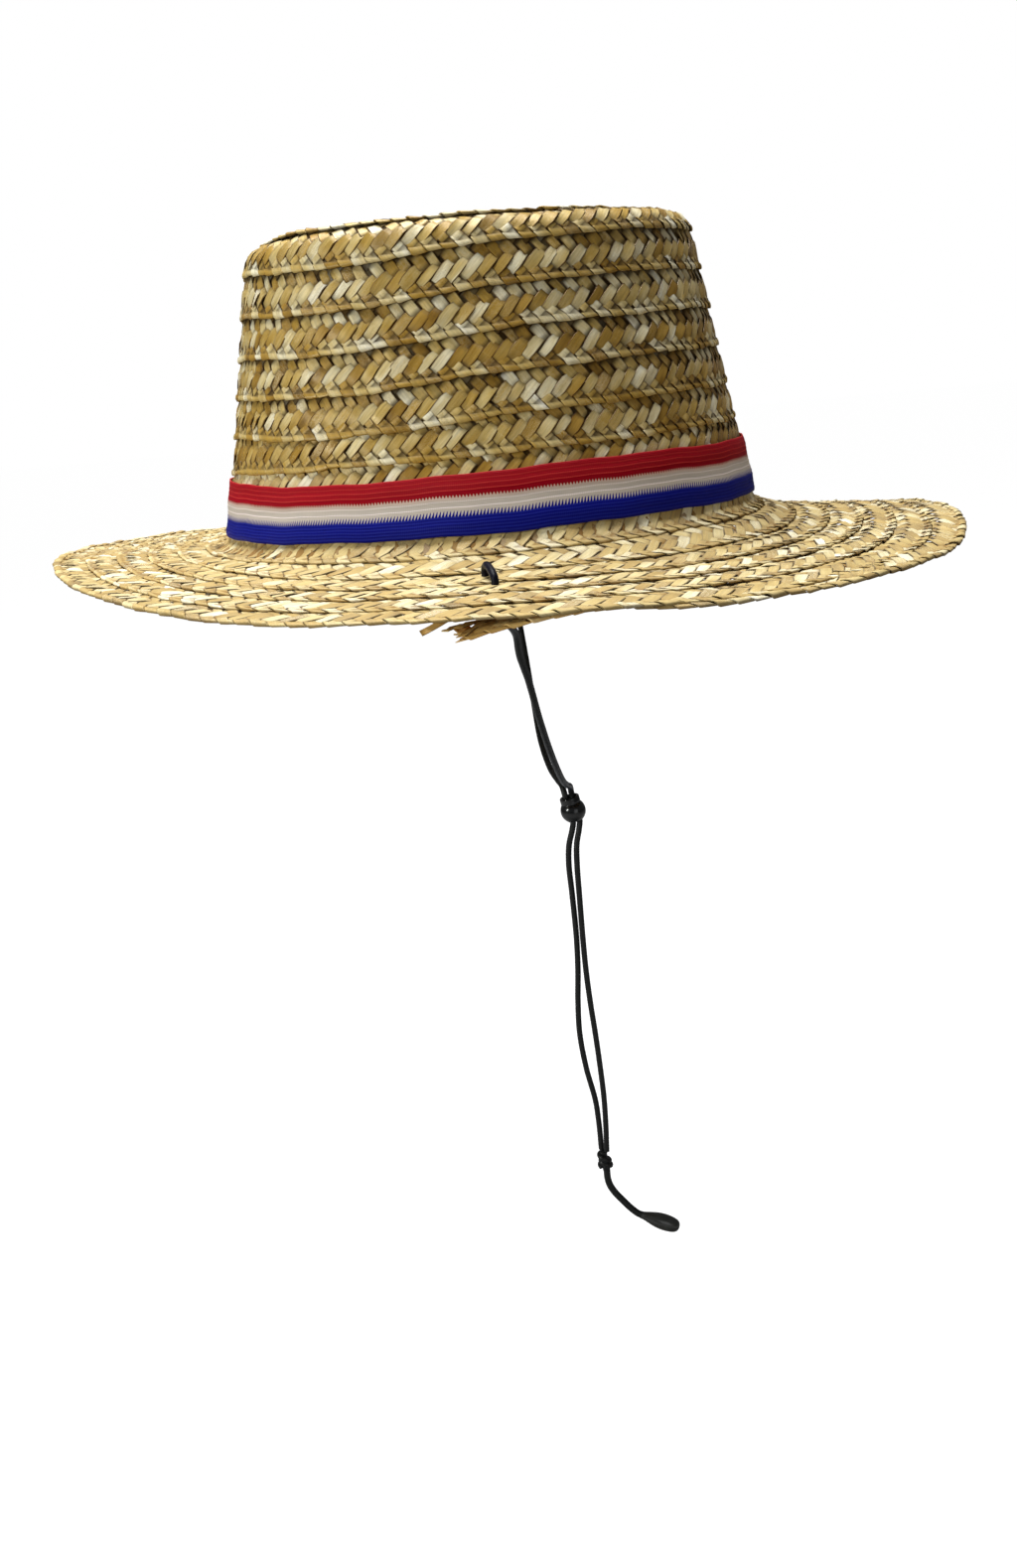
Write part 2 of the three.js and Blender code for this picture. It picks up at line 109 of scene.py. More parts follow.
def makePiece(name, points, quads, material, grain=None, creases=None, shade=None):
    # points in mm; quads may repeat a corner to make a triangle; creases says which
    # pairs of points have a hard edge between them, shade how much painted shade each point gets
    if signedVolume(points, quads) < 0:
        quads = quads[:, ::-1]
    mesh = bpy.data.meshes.new(name)
    fourSided = quads[:, 0] != quads[:, 3]
    faces = [tuple(q) for q in quads[fourSided].tolist()]
    faces += [tuple(q[:3]) for q in quads[~fourSided].tolist()]
    mesh.from_pydata((points * mm).tolist(), [], faces)
    mesh.polygons.foreach_set("use_smooth", np.ones(len(faces), dtype=bool))
    if grain is not None:
        addLayer(mesh, "grain", "FLOAT_VECTOR", "vector", grain)
    # the shade layer holds painted shade for the hollows between straws
    if shade is not None:
        addLayer(mesh, "shade", "FLOAT", "value", shade)
    mesh.update()
    if creases is not None:
        ends = np.zeros(len(mesh.edges) * 2, dtype=np.int64)
        mesh.edges.foreach_get("vertices", ends)
        hard = mesh.attributes.new("sharp_edge", "BOOLEAN", "EDGE")
        hard.data.foreach_set("value", creases(ends.reshape(-1, 2)))
    mesh.materials.append(material)
    obj = addObject(name, mesh)
    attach(obj, "root")
    print(name, len(faces), "faces")
    return obj


def gridFaces(rows, columns, closedRows=False):
    # the quads between rings of points, each ring closed
    i = np.arange(rows if closedRows else rows - 1)
    i, j = np.meshgrid(i, np.arange(columns), indexing="ij")
    below = (i + 1) % rows
    beside = (j + 1) % columns
    quads = np.stack([i * columns + j, i * columns + beside,
                      below * columns + beside, below * columns + j], -1)
    return quads.reshape(-1, 4)


def smoothPath(points, count):
    # centripetal Catmull-Rom through the points, then equal steps along it
    p = np.asarray(points, dtype=float)
    p = np.vstack([2 * p[0] - p[1], p, 2 * p[-1] - p[-2]])
    samples = 24  # between two points
    out = []
    for k in range(1, len(p) - 2):
        a, b, c, d = p[k - 1:k + 3]
        knots = np.cumsum([0] + [math.sqrt(np.linalg.norm(e)) for e in (b - a, c - b, d - c)])
        t = np.linspace(knots[1], knots[2], samples, endpoint=False)[:, None]
        ab = a + (b - a) * (t - knots[0]) / (knots[1] - knots[0])
        bc = b + (c - b) * (t - knots[1]) / (knots[2] - knots[1])
        cd = c + (d - c) * (t - knots[2]) / (knots[3] - knots[2])
        abc = ab + (bc - ab) * (t - knots[0]) / (knots[2] - knots[0])
        bcd = bc + (cd - bc) * (t - knots[1]) / (knots[3] - knots[1])
        out.append(abc + (bcd - abc) * (t - knots[1]) / (knots[2] - knots[1]))
    out = np.vstack(out + [p[-2:-1]])
    along = np.concatenate([[0], np.cumsum(np.linalg.norm(np.diff(out, axis=0), axis=1))])
    even = np.linspace(0, along[-1], count)
    return np.stack([np.interp(even, along, out[:, i]) for i in range(3)], 1), along[-1]


def carriedFrames(path):
    # a side and an up direction for each point, carried along without twist
    ahead = np.gradient(path, axis=0)
    ahead /= np.linalg.norm(ahead, axis=1)[:, None]
    side = np.zeros_like(path)
    seed = np.array([0.0, 1.0, 0.0]) if abs(ahead[0, 1]) < 0.8 else np.array([1.0, 0.0, 0.0])
    side[0] = np.cross(ahead[0], seed)
    side[0] /= np.linalg.norm(side[0])
    for k in range(1, len(path)):
        s = side[k - 1] - ahead[k] * (side[k - 1] @ ahead[k])
        side[k] = s / np.linalg.norm(s)
    return side, np.cross(ahead, side)


# node helpers

def newMaterial(name):
    material = bpy.data.materials.new(name)
    material.use_nodes = True
    tree = material.node_tree
    shader = tree.nodes["Principled BSDF"]
    return material, tree, shader


def addNode(tree, kind, settings=None, **inputs):
    node = tree.nodes.new(kind)
    for key, value in (settings or {}).items():
        setattr(node, key, value)
    for key, value in inputs.items():
        numbered = key[0] == "i" and key[1:].isdigit()
        socket = node.inputs[int(key[1:]) if numbered else key]
        if isinstance(value, bpy.types.NodeSocket):
            tree.links.new(value, socket)
        else:
            socket.default_value = value
    return node


def mathNode(tree, operation, a, b=0.5, c=0.0):
    return addNode(tree, "ShaderNodeMath", {"operation": operation}, i0=a, i1=b, i2=c).outputs[0]


def mixColours(tree, share, a, b, blend="MIX"):
    settings = {"data_type": "RGBA", "blend_type": blend}
    return addNode(tree, "ShaderNodeMix", settings, i0=share, i6=a, i7=b).outputs[2]


def colourRamp(tree, value, stops):
    node = addNode(tree, "ShaderNodeValToRGB", i0=value)
    ramp = node.color_ramp
    while len(ramp.elements) < len(stops):
        ramp.elements.new(0.5)
    for element, (place, colour) in zip(ramp.elements, stops):
        element.position = place
        element.color = colour
    return node.outputs[0]


def paint(*seen):
    # a colour as seen, 0 to 255, in the renderer's own light values
    shares = [c / 255 for c in seen]
    return (*(c / 12.92 if c <= 0.04045 else ((c + 0.055) / 1.055) ** 2.4 for c in shares), 1)


def grainParts(tree):
    # along the straw, across it, and the straw's own number
    own = addNode(tree, "ShaderNodeAttribute", {"attribute_name": "grain"})
    parts = addNode(tree, "ShaderNodeSeparateXYZ", i0=own.outputs["Vector"])
    return parts.outputs[0], parts.outputs[1], parts.outputs[2]


def stretchedNoise(tree, along, across, number, scales, detail, rough):
    # noise drawn out along a straw or a cord, different for each number
    place = addNode(tree, "ShaderNodeCombineXYZ",
                    i0=mathNode(tree, "MULTIPLY", along, scales[0]),
                    i1=mathNode(tree, "MULTIPLY", across, scales[1]),
                    i2=mathNode(tree, "MULTIPLY", number, 53.0))
    noise = addNode(tree, "ShaderNodeTexNoise", Vector=place.outputs[0], Scale=1.0,
                    Detail=detail, Roughness=rough)
    return noise.outputs[0]


def dress(tree, shader, colour, height, strength, depth):
    # a surface's colour, and a fine relief with its depth in metres
    tree.links.new(colour, shader.inputs["Base Color"])
    bump = addNode(tree, "ShaderNodeBump", Strength=strength, Distance=depth, Height=height)
    tree.links.new(bump.outputs[0], shader.inputs["Normal"])


# cord: black braided, with a soft blue sheen

cord = {
    "diameter": 2.4,
    "inKnots": 0.95,  # share of its thickness where it is knotted
    "braidPitch": 2.3,
    "strandsEachWay": 6,
    "relief": 0.07,
    "ringEvery": 0.42,
    "sides": 18,
    "endRing": (0.6, 0.25),  # its rounded end: how narrow and how far out a ring, then a point
    "endPoint": 0.38,
    # the same cord painted in two tones: darker on the brim, painted shade where the overhead lamp
    # falls on it, and lighter, painted light, where it hangs below the brim
    "paintedDarkerWhereLit": {"dark": (4, 4, 9), "light": (20, 20, 42), "shine": 0.1},
    "paintedLighterBelow": {"dark": (22, 23, 22), "light": (58, 60, 58), "shine": 0.3},
    "sheen": 0.06,
    "sheenTint": (0.55, 0.66, 1.0, 1),
    "twist": 0.05,  # of the braid, in radians per mm
    "leavesKnot": 1.95,  # below the middle of the knot under the brim
}


def cordMaterial(name, finish):
    material, tree, shader = newMaterial(name)
    along, around, number = grainParts(tree)
    fibre = stretchedNoise(tree, along, around, number, (5.0, 3.0), 4.0, 0.7)
    fine = stretchedNoise(tree, along, around, number, (1.4, 16.0), 2.0, 0.6)
    tone = mixColours(tree, mathNode(tree, "MULTIPLY", fibre, 0.4), paint(*finish["dark"]),
                      paint(*finish["light"]))
    dress(tree, shader, tone, fine, 0.5, 0.0001)
    rough = mathNode(tree, "MULTIPLY_ADD", fine, 0.2, 0.24)
    tree.links.new(rough, shader.inputs["Roughness"])
    shader.inputs["Sheen Weight"].default_value = cord["sheen"]
    shader.inputs["Sheen Roughness"].default_value = 0.4
    shader.inputs["Sheen Tint"].default_value = cord["sheenTint"]
    shader.inputs["Specular IOR Level"].default_value = finish["shine"]
    return material


def cordTube(points, diameter, twist=0.0):
    # a round tube whose skin shows two sets of strands crossing over each other
    relief, sides = cord["relief"], cord["sides"]
    length = smoothPath(points, 10)[1]
    count = max(8, int(length / cord["ringEvery"]))
    path, length = smoothPath(points, count)
    side, up = carriedFrames(path)
    s = np.linspace(0, length, count)[:, None]
    angle = np.linspace(0, 2 * math.pi, sides, endpoint=False)[None, :] + twist * s
    strands = cord["strandsEachWay"] / 2 * angle
    advance = 2 * math.pi * s / cord["braidPitch"]
    crossing = np.maximum(np.abs(np.sin(strands + advance)), np.abs(np.sin(strands - advance)))
    radius = diameter / 2 - relief * 0.4 + relief * (crossing - 0.75) * 2
    ring = side[:, None, :] * np.cos(angle)[..., None] + up[:, None, :] * np.sin(angle)[..., None]
    rings = path[:, None, :] + ring * radius[..., None]
    grain = np.zeros_like(rings)
    grain[..., 0] = s
    grain[..., 1] = np.abs(np.linspace(-1, 1, sides, endpoint=False)) * diameter * 1.5
    grain[..., 2] = 0.31
    tube = closeEnds(rings.reshape(-1, 3), gridFaces(count, sides),
                     grain.reshape(-1, 3), path)
    return *tube, path, length


def closeEnds(points, quads, grain, path):
    # a rounded cap: one ring drawn in, then a point
    sides = cord["sides"]
    narrow, out = cord["endRing"]
    j = np.arange(sides)
    nextJ = (j + 1) % sides
    for ring, inward in ((0, 1), (len(path) - 1, -1)):
        centre = path[ring]
        outward = centre - path[ring + inward]
        outward /= np.linalg.norm(outward)
        first, base = ring * sides, len(points)
        drawnIn = centre + (points[first:first + sides] - centre) * narrow + outward * out
        points = np.vstack([points, drawnIn, centre + outward * cord["endPoint"]])
        grain = np.vstack([grain, grain[first:first + sides], grain[first:first + 1]])
        skirt = np.stack([first + j, base + j, base + nextJ, first + nextJ], 1)
        top = np.stack([base + j, np.full(sides, base + sides), base + nextJ, base + j], 1)
        cap = np.vstack([skirt, top])
        quads = np.vstack([quads, cap[:, ::inward]])
    return points, quads, grain


def addParts(parts):
    # joins several (points, quads, grain) into one
    points, quads, grain = zip(*parts)
    starts = np.cumsum([0] + [len(p) for p in points[:-1]])
    quads = [q + start for q, start in zip(quads, starts)]
    return np.vstack(points), np.vstack(quads), np.vstack(grain)


# chin cord: two sides that meet in the bead and hang on as one tail

beadForm = {
    "centre": np.array([0.0, -22.2, -111.5]),
    "leansBack": 12,
    "strandApart": 1.36,
    "radius": 5.0,
    "neck": 3.9,
    "bore": 2.95,
}
lean = math.radians(beadForm["leansBack"])
boreAxis = np.array([0, math.sin(lean), math.cos(lean)])
boreSide = np.array([0, math.cos(lean), -math.sin(lean)])


def inBead(along, strand):
    point = beadForm["centre"] + boreAxis * along + boreSide * strand * beadForm["strandApart"]
    return tuple(point)


def nodeCentre(node):
    low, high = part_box(node)
    return (np.array(low) + np.array(high)) / 2 / mm


rightKnot = nodeCentre("cord_knot_right")
leftKnot = nodeCentre("cord_knot_left")

rightRoute = [
    (-109.2, 0.9, rightKnot[2] - cord["leavesKnot"]), (-104.5, -1.6, -16.2), (-98.5, -3.9, -19.4),
    (-91.5, -5.6, -23.6), (-84.5, -6.2, -31.5), (-77.0, -8.4, -41.5), (-66.0, -11.0, -57.0),
    (-51.0, -14.2, -73.4), (-31.0, -18.0, -89.4), (-14.5, -20.4, -96.8), (-5.4, -21.4, -99.8),
    (-1.4, -21.8, -101.9), inBead(7.2, -1), inBead(3.4, -1), inBead(-0.6, -1), inBead(-4.6, -1),
    (-0.2, -24.0, -119.2), (-0.6, -22.6, -125.5), (-1.0, -22.1, -134.0),
    (-1.1, -22.1, -147.0), (-1.1, -22.2, -166.0), (-1.1, -22.5, -180.0), (-1.0, -23.3, -194.5),
    (-0.7, -24.4, -208.5), (-0.5, -25.4, -224.5), (-0.9, -26.0, -238.0), (-1.1, -25.9, -252.0),
    (-1.1, -25.5, -263.3),
]
leftRoute = [
    (109.2, 0.9, leftKnot[2] - cord["leavesKnot"]), (104.5, -1.4, -16.0), (98.5, -3.6, -19.4),
    (91.5, -5.0, -23.8), (84.5, -5.6, -32.0), (77.0, -7.0, -43.0), (66.0, -8.8, -59.5),
    (51.0, -10.4, -76.0), (34.0, -12.0, -90.6), (17.0, -14.8, -98.4), (7.0, -17.2, -100.6),
    (2.0, -18.7, -101.9), inBead(7.2, 1), inBead(3.4, 1), inBead(-0.6, 1), inBead(-4.6, 1),
    (0.2, -21.2, -119.8), (0.6, -19.6, -125.8), (1.0, -18.9, -134.0),
    (1.1, -19.3, -147.0), (1.1, -19.7, -166.0), (1.1, -19.3, -180.0), (1.0, -18.3, -194.5),
    (0.8, -18.0, -208.5), (0.7, -19.6, -224.5), (0.9, -22.4, -240.0), (1.1, -23.2, -252.0),
    (1.1, -23.4, -263.3),
]
tailRoute = [
    (0, -25.0, -272.4), (0, -25.1, -276.8), (0, -25.8, -280.2), (0, -27.6, -283.9),
    (0, -31.4, -289.1), (0, -34.4, -292.8), (0, -37.05, -295.4), (0, -38.6, -296.3),
]

# the loops on the brim take the darker paint against the lamp over them; the hanging cords and
# knots the lighter
cordPaintedLighterBelow = cordMaterial("black_cord", cord["paintedLighterBelow"])
cordPaintedDarkerWhereLit = cordMaterial("black_cord_painted_darker_where_lit", cord["paintedDarkerWhereLit"])


def makeCord(name, route, material=cordPaintedLighterBelow, diameter=cord["diameter"], twist=0.0):
    points, quads, grain, path, length = cordTube(route, diameter, twist)
    obj = makePiece(name, points, quads, material, grain)
    return obj, (path * mm).tolist(), length * mm


rightCord, rightPath, rightLength = makeCord("chin_cord_right_side", rightRoute,
                                             twist=cord["twist"])
leftCord, leftPath, leftLength = makeCord("chin_cord_left_side", leftRoute, twist=-cord["twist"])
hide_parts("chin_cord_right")
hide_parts("chin_cord_left")

# loop over the brim: up through one hole, down through the next

loop = {
    "near": (107.6, 2.0),
    "far": (118.0, -0.8),
    "height": 2.4,
    "pulledDown": 1.2,
    "legs": 3.4,
    "fall": 0.75,  # from the straw at the near hole to the straw at the far one
}


def loopRoute(side, node):
    low, high = (np.array(c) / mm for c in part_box(node))
    top = high[2] - cord["diameter"] / 2 - loop["pulledDown"]
    legEnd = low[2]
    near, far = (np.array([side * loop[hole][0], loop[hole][1]]) for hole in ("near", "far"))
    nearStraw = top - loop["height"]
    farStraw = nearStraw - loop["fall"]

    def place(share, z):
        return (*(near + (far - near) * share), z)

    return [
        place(0.30, legEnd - 0.4), place(0.06, nearStraw - loop["legs"]), place(0, nearStraw - 2),
        place(0, nearStraw), place(0.03, top - 1.1), place(0.2, top), place(0.55, top - 0.5),
        place(0.9, farStraw + loop["height"] - 1.3), place(1, farStraw), place(1, farStraw - 2),
        place(0.94, farStraw - loop["legs"]), place(0.70, legEnd - 0.4),
    ]


knotUnderBrim = {
    "size": np.array([1.02, 0.78, -1.55]),
    "opens": (0.35, 0.25),  # how far past the crossing each end of it lies
    "points": 40,
}


def knotRoute(centre):
    # an overhand knot, squeezed flat under the straw
    begins, ends = knotUnderBrim["opens"]
    t = np.linspace(begins, 2 * math.pi + ends, knotUnderBrim["points"])
    knot = [np.sin(t) + 2 * np.sin(2 * t), np.cos(t) - 2 * np.cos(2 * t), np.sin(3 * t)]
    return np.stack(knot, 1) * knotUnderBrim["size"] + centre


def makeLoopAndKnot(word, side, centre):
    route = loopRoute(side, "cord_loop_" + word)
    loopPiece = makeCord("cord_loop_over_brim_" + word, route, cordPaintedDarkerWhereLit)[0]
    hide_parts("cord_loop_" + word)
    knotPiece = makeCord("cord_knot_under_brim_" + word, knotRoute(centre),
                         diameter=cord["diameter"] * cord["inKnots"])[0]
    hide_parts("cord_knot_" + word)
    return loopPiece, knotPiece


rightFittings = makeLoopAndKnot("right", -1, rightKnot)
leftFittings = makeLoopAndKnot("left", 1, leftKnot)


# bead: a polished ball with a short neck

def beadMaterial(name, colour, light):
    material, tree, shader = newMaterial(name)
    place = addNode(tree, "ShaderNodeTexCoord").outputs["Object"]
    scuff = addNode(tree, "ShaderNodeTexNoise", Vector=place, Scale=900.0, Detail=4.0,
                    Roughness=0.7).outputs[0]
    marks = addNode(tree, "ShaderNodeTexNoise", Vector=place, Scale=210.0, Detail=2.0,
                    Roughness=0.5).outputs[0]
    tone = mixColours(tree, marks, paint(*colour), paint(*light))
    dress(tree, shader, tone, scuff, 0.12, 0.0002)
    rough = mathNode(tree, "MULTIPLY_ADD", scuff, 0.22, 0.08)
    tree.links.new(rough, shader.inputs["Roughness"])
    shader.inputs["IOR"].default_value = 1.5
    shader.inputs["Coat Weight"].default_value = 0.4
    shader.inputs["Coat Roughness"].default_value = 0.08
    return material


def turnedPiece(name, outline, centre, axis, material, sides=56):
    # an outline of (radius, height) turned round an axis; it closes on itself or ends on the axis
    axis = np.asarray(axis, dtype=float)
    across = np.cross(axis, [1.0, 0.0, 0.0])
    across /= np.linalg.norm(across)
    third = np.cross(axis, across)
    outline = np.asarray(outline, dtype=float)
    angle = np.linspace(0, 2 * math.pi, sides, endpoint=False)
    ring = np.cos(angle)[:, None] * across + np.sin(angle)[:, None] * third
    points = (centre + outline[:, None, 1, None] * axis
              + outline[:, None, 0, None] * ring[None]).reshape(-1, 3)
    closed = outline[0, 0] > 0.01
    quads = gridFaces(len(outline), sides, closed)
    if not closed:
        points, quads = joinPoles(points, quads, len(outline), sides)
    return makePiece(name, points, quads, material)


def joinPoles(points, quads, rows, sides):
    # every point of the first and last ring becomes one point
    lastRing = (rows - 1) * sides
    index = np.arange(len(points))
    index[:sides] = 0
    index[lastRing:] = lastRing
    quads = index[quads]
    used = np.unique(quads)
    place = np.zeros(len(points), dtype=int)
    place[used] = np.arange(len(used))
    quads = place[quads]
    tips = quads[:, 0] == quads[:, 1]
    quads[tips] = quads[tips][:, [1, 2, 3, 1]]
    ends = quads[:, 2] == quads[:, 3]
    quads[ends] = quads[ends][:, [0, 1, 2, 0]]
    return points[used], quads


def arc(centre, radius, start, end, count):
    angles = np.radians(np.linspace(start, end, count))
    return [(centre[0] + radius * math.cos(a), centre[1] + radius * math.sin(a)) for a in angles]


def beadOutline():
    r, bore, neck = beadForm["radius"], beadForm["bore"], beadForm["neck"]
    outline = [(bore, -3.7), (bore + 0.12, -4.0)]
    outline += arc((0, 0), r, -52, 44, 26)
    outline += [(neck + 0.05, 3.72), (neck - 0.02, 4.1), (neck, 4.5), (neck, 5.3)]
    outline += arc((neck - 0.45, 5.5), 0.45, 5, 90, 6)
    outline += arc((bore + 0.25, 5.7), 0.25, 90, 175, 4)
    outline += [(bore, 5.2), (bore, 2.0), (bore, -1.0)]
    return outline


polishedBlack = beadMaterial("polished_black", (8, 8, 10), (20, 21, 24))
bead = turnedPiece("sliding_bead", beadOutline(), beadForm["centre"], boreAxis, polishedBlack)
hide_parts("cord_bead")


# tail: a round knot, one short end and a drop

tail = {
    "cordDiameter": 3.0,
    "wraps": 2.35,
    "wrapRadius": 1.95,
    "swell": 0.3,
    "knotHeight": 5.5,
    "wander": 0.7,
    "core": [(0, 0.6, 4.6), (0.2, 0.3, 1.5), (-0.2, 0, -1.5), (0, -0.3, -4.3)],
    "coreThicker": 1.3,
}


def tailKnotPart():
    centre = nodeCentre("tail_knot")
    t = np.linspace(0, 2 * math.pi * tail["wraps"], 70)
    radius = tail["wrapRadius"] + tail["swell"] * np.cos(t * 0.5)
    z = tail["knotHeight"] * (0.5 - t / t[-1]) + tail["wander"] * np.sin(t)
    wraps = np.stack([radius * np.cos(t), radius * np.sin(t), z], 1) + centre
    core = np.array(tail["core"]) + centre
    return addParts([cordTube(wraps, cord["diameter"])[:3],
                     cordTube(core, cord["diameter"] * tail["coreThicker"])[:3]])


knotPoints, knotQuads, knotGrain = tailKnotPart()
tailKnot = makePiece("tail_knot_wrapped", knotPoints, knotQuads, cordPaintedLighterBelow, knotGrain)
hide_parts("tail_knot")

tailEnd = makeCord("tail_end_cord", tailRoute, diameter=tail["cordDiameter"])[0]
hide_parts("tail_end")

drop = {
    "start": np.array([0, -37.7, -295.9]),
    "end": np.array([0, -54.1, -303.6]),
    # radius, and how far along
    "outline": [(0, 0), (0.9, 0), (1.45, 0.012), (1.56, 0.05), (1.75, 0.12), (2.4, 0.26),
                (3.1, 0.42), (3.45, 0.58), (3.4, 0.74), (3.0, 0.88), (2.4, 0.96), (1.5, 1.0),
                (0, 1.008)],
    "rings": 46,
    "sides": 40,
}


def dropPiece():
    line = drop["end"] - drop["start"]
    length = np.linalg.norm(line)
    rough = [(radius, share * length, 0) for radius, share in drop["outline"]]
    outline = smoothPath(rough, drop["rings"])[0][:, :2]
    outline[:, 0] = outline[:, 0].clip(0)
    outline[[0, -1], 0] = 0
    softBlack = beadMaterial("soft_black", (44, 44, 42), (66, 66, 63))
    return turnedPiece("tail_drop", outline, drop["start"], line / length, softBlack,
                       drop["sides"])


tailDrop = dropPiece()
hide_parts("cord_drop")

print("chin cord made:", round(rightLength, 4), round(leftLength, 4))


# the hat's form, as the straw plait follows it

hatForm = {
    "oval": 12.2,  # longer than wide by this much at each end
    "brimOval": 3.0,
    "crownTop": 104.0,
    "sideRadius": 85.6,
    "sideTaper": 0.1915,
    "tipCorner": 8.0,
    "footCurve": 5.0,
    "footHeight": 4.0,
    "footRadius": 90.5,
    "brimTop": 3.5,
    "brimRadius": 152.3,
    "brimGrowth": 23.0,  # wider by this much round the turn, as a spiral is
    "growsLate": 1.8,
    "nextRound": 12.4,  # the round under the edge would lie this much further out
    "drop": 6.8,  # how far the edge hangs below level
    "frontDip": 5.9,
    "sideDip": 1.8,
    "tiltStart": 84.0,
    "flare": 1.6,  # how much steeper the brim is beside the crown
    # at (degrees), how wide, how far up
    "edgeWaves": [(-87, 17, 4.0), (-124, 12, -1.2), (-148, 15, -1.7), (152, 24, -2.7),
                  (100, 20, 1.3)],
    "backGrows": (0.72, 1),  # where the last round slides under the edge (share of a turn)
}
sideLean = math.atan(hatForm["sideTaper"])
quarter = math.pi / 2 - sideLean


def sideRadius(z):
    return hatForm["sideRadius"] - hatForm["sideTaper"] * z


cornerEnd = hatForm["crownTop"] - hatForm["tipCorner"] * (1 - math.sin(sideLean))
tipFlat = sideRadius(cornerEnd) - hatForm["tipCorner"] * math.cos(sideLean)
footStart = hatForm["footHeight"] + hatForm["footCurve"] * (1 - math.sin(sideLean))
footCentre = sideRadius(footStart) + hatForm["footCurve"] * math.cos(sideLean)
sideBegin = tipFlat + hatForm["tipCorner"] * quarter
footBegin = sideBegin + (cornerEnd - footStart) / math.cos(sideLean)
footEnd = footBegin + hatForm["footCurve"] * quarter
crownEnd = footEnd + hatForm["footRadius"] - footCentre
brimSpan = hatForm["brimRadius"] - hatForm["footRadius"]


def edgeOfBrim(turn, tucked=True):
    # half width of the brim by the share of a turn from the wearer's right, clockwise from above
    back = smoothStep(*hatForm["backGrows"], turn)
    wider = hatForm["brimGrowth"] * turn ** hatForm["growsLate"] * (1 - back)
    grown = hatForm["brimRadius"] + wider
    return grown if tucked else grown + hatForm["nextRound"] * back


def ovalAt(radius):
    # how much longer the hat is, front and back, than it is wide
    share = np.clip((radius - hatForm["footRadius"]) / brimSpan, 0, 1)
    return hatForm["oval"] + (hatForm["brimOval"] - hatForm["oval"]) * share


def bumps(angle, places):
    # a sum of soft bumps round the hat: at (degrees), how wide, how much
    total = 0 * angle
    for at, wide, size in places:
        turned = np.mod(np.degrees(angle) - at + 180, 360) - 180
        total = total + size * np.exp(-(turned / wide) ** 2)
    return total


def fallAt(flat, angle):
    # how far the brim falls below level, steepest beside the crown
    edgeDrop = hatForm["drop"] - hatForm["frontDip"] * np.sin(angle)
    edgeDrop = edgeDrop + hatForm["sideDip"] * np.cos(2 * angle)
    edgeDrop = edgeDrop - bumps(angle, hatForm["edgeWaves"])
    slope = edgeDrop * (1 + hatForm["flare"]) / brimSpan
    start = np.clip(flat, hatForm["tiltStart"], hatForm["footRadius"]) - hatForm["tiltStart"]
    footFall = slope * start ** 2 / (2 * (hatForm["footRadius"] - hatForm["tiltStart"]))
    t = np.maximum(0, flat - hatForm["footRadius"]) / brimSpan
    return footFall + edgeDrop * (t + hatForm["flare"] * t * np.maximum(0, 1 - t) ** 3)


def profileAt(s):
    # radius, height and outward turn at a distance s from the middle of the tip
    top, low = hatForm["crownTop"], hatForm["footHeight"]
    corner = (s - tipFlat) / hatForm["tipCorner"]
    side = cornerEnd - (s - sideBegin) * math.cos(sideLean)
    foot = (footEnd - s) / hatForm["footCurve"]
    where = [s < tipFlat, s < sideBegin, s < footBegin, s < footEnd]
    turn = np.select(where, [0 * s, corner, 0 * s + quarter, foot], 0.0)
    radius = np.select(where, [
        s, tipFlat + hatForm["tipCorner"] * np.sin(corner), sideRadius(side),
        footCentre - hatForm["footCurve"] * np.sin(foot)], footCentre + s - footEnd)
    height = np.select(where, [
        0 * s + top, top - hatForm["tipCorner"] * (1 - np.cos(corner)), side,
        low + hatForm["footCurve"] * (1 - np.cos(foot))], low)
    beyond = low + (hatForm["brimTop"] - low) * smoothStep(0, 12, s - crownEnd)
    return radius, np.where(s > crownEnd, beyond, height), turn


# plait: seven straws over two and under two, sewn in one spiral from the tip to the edge

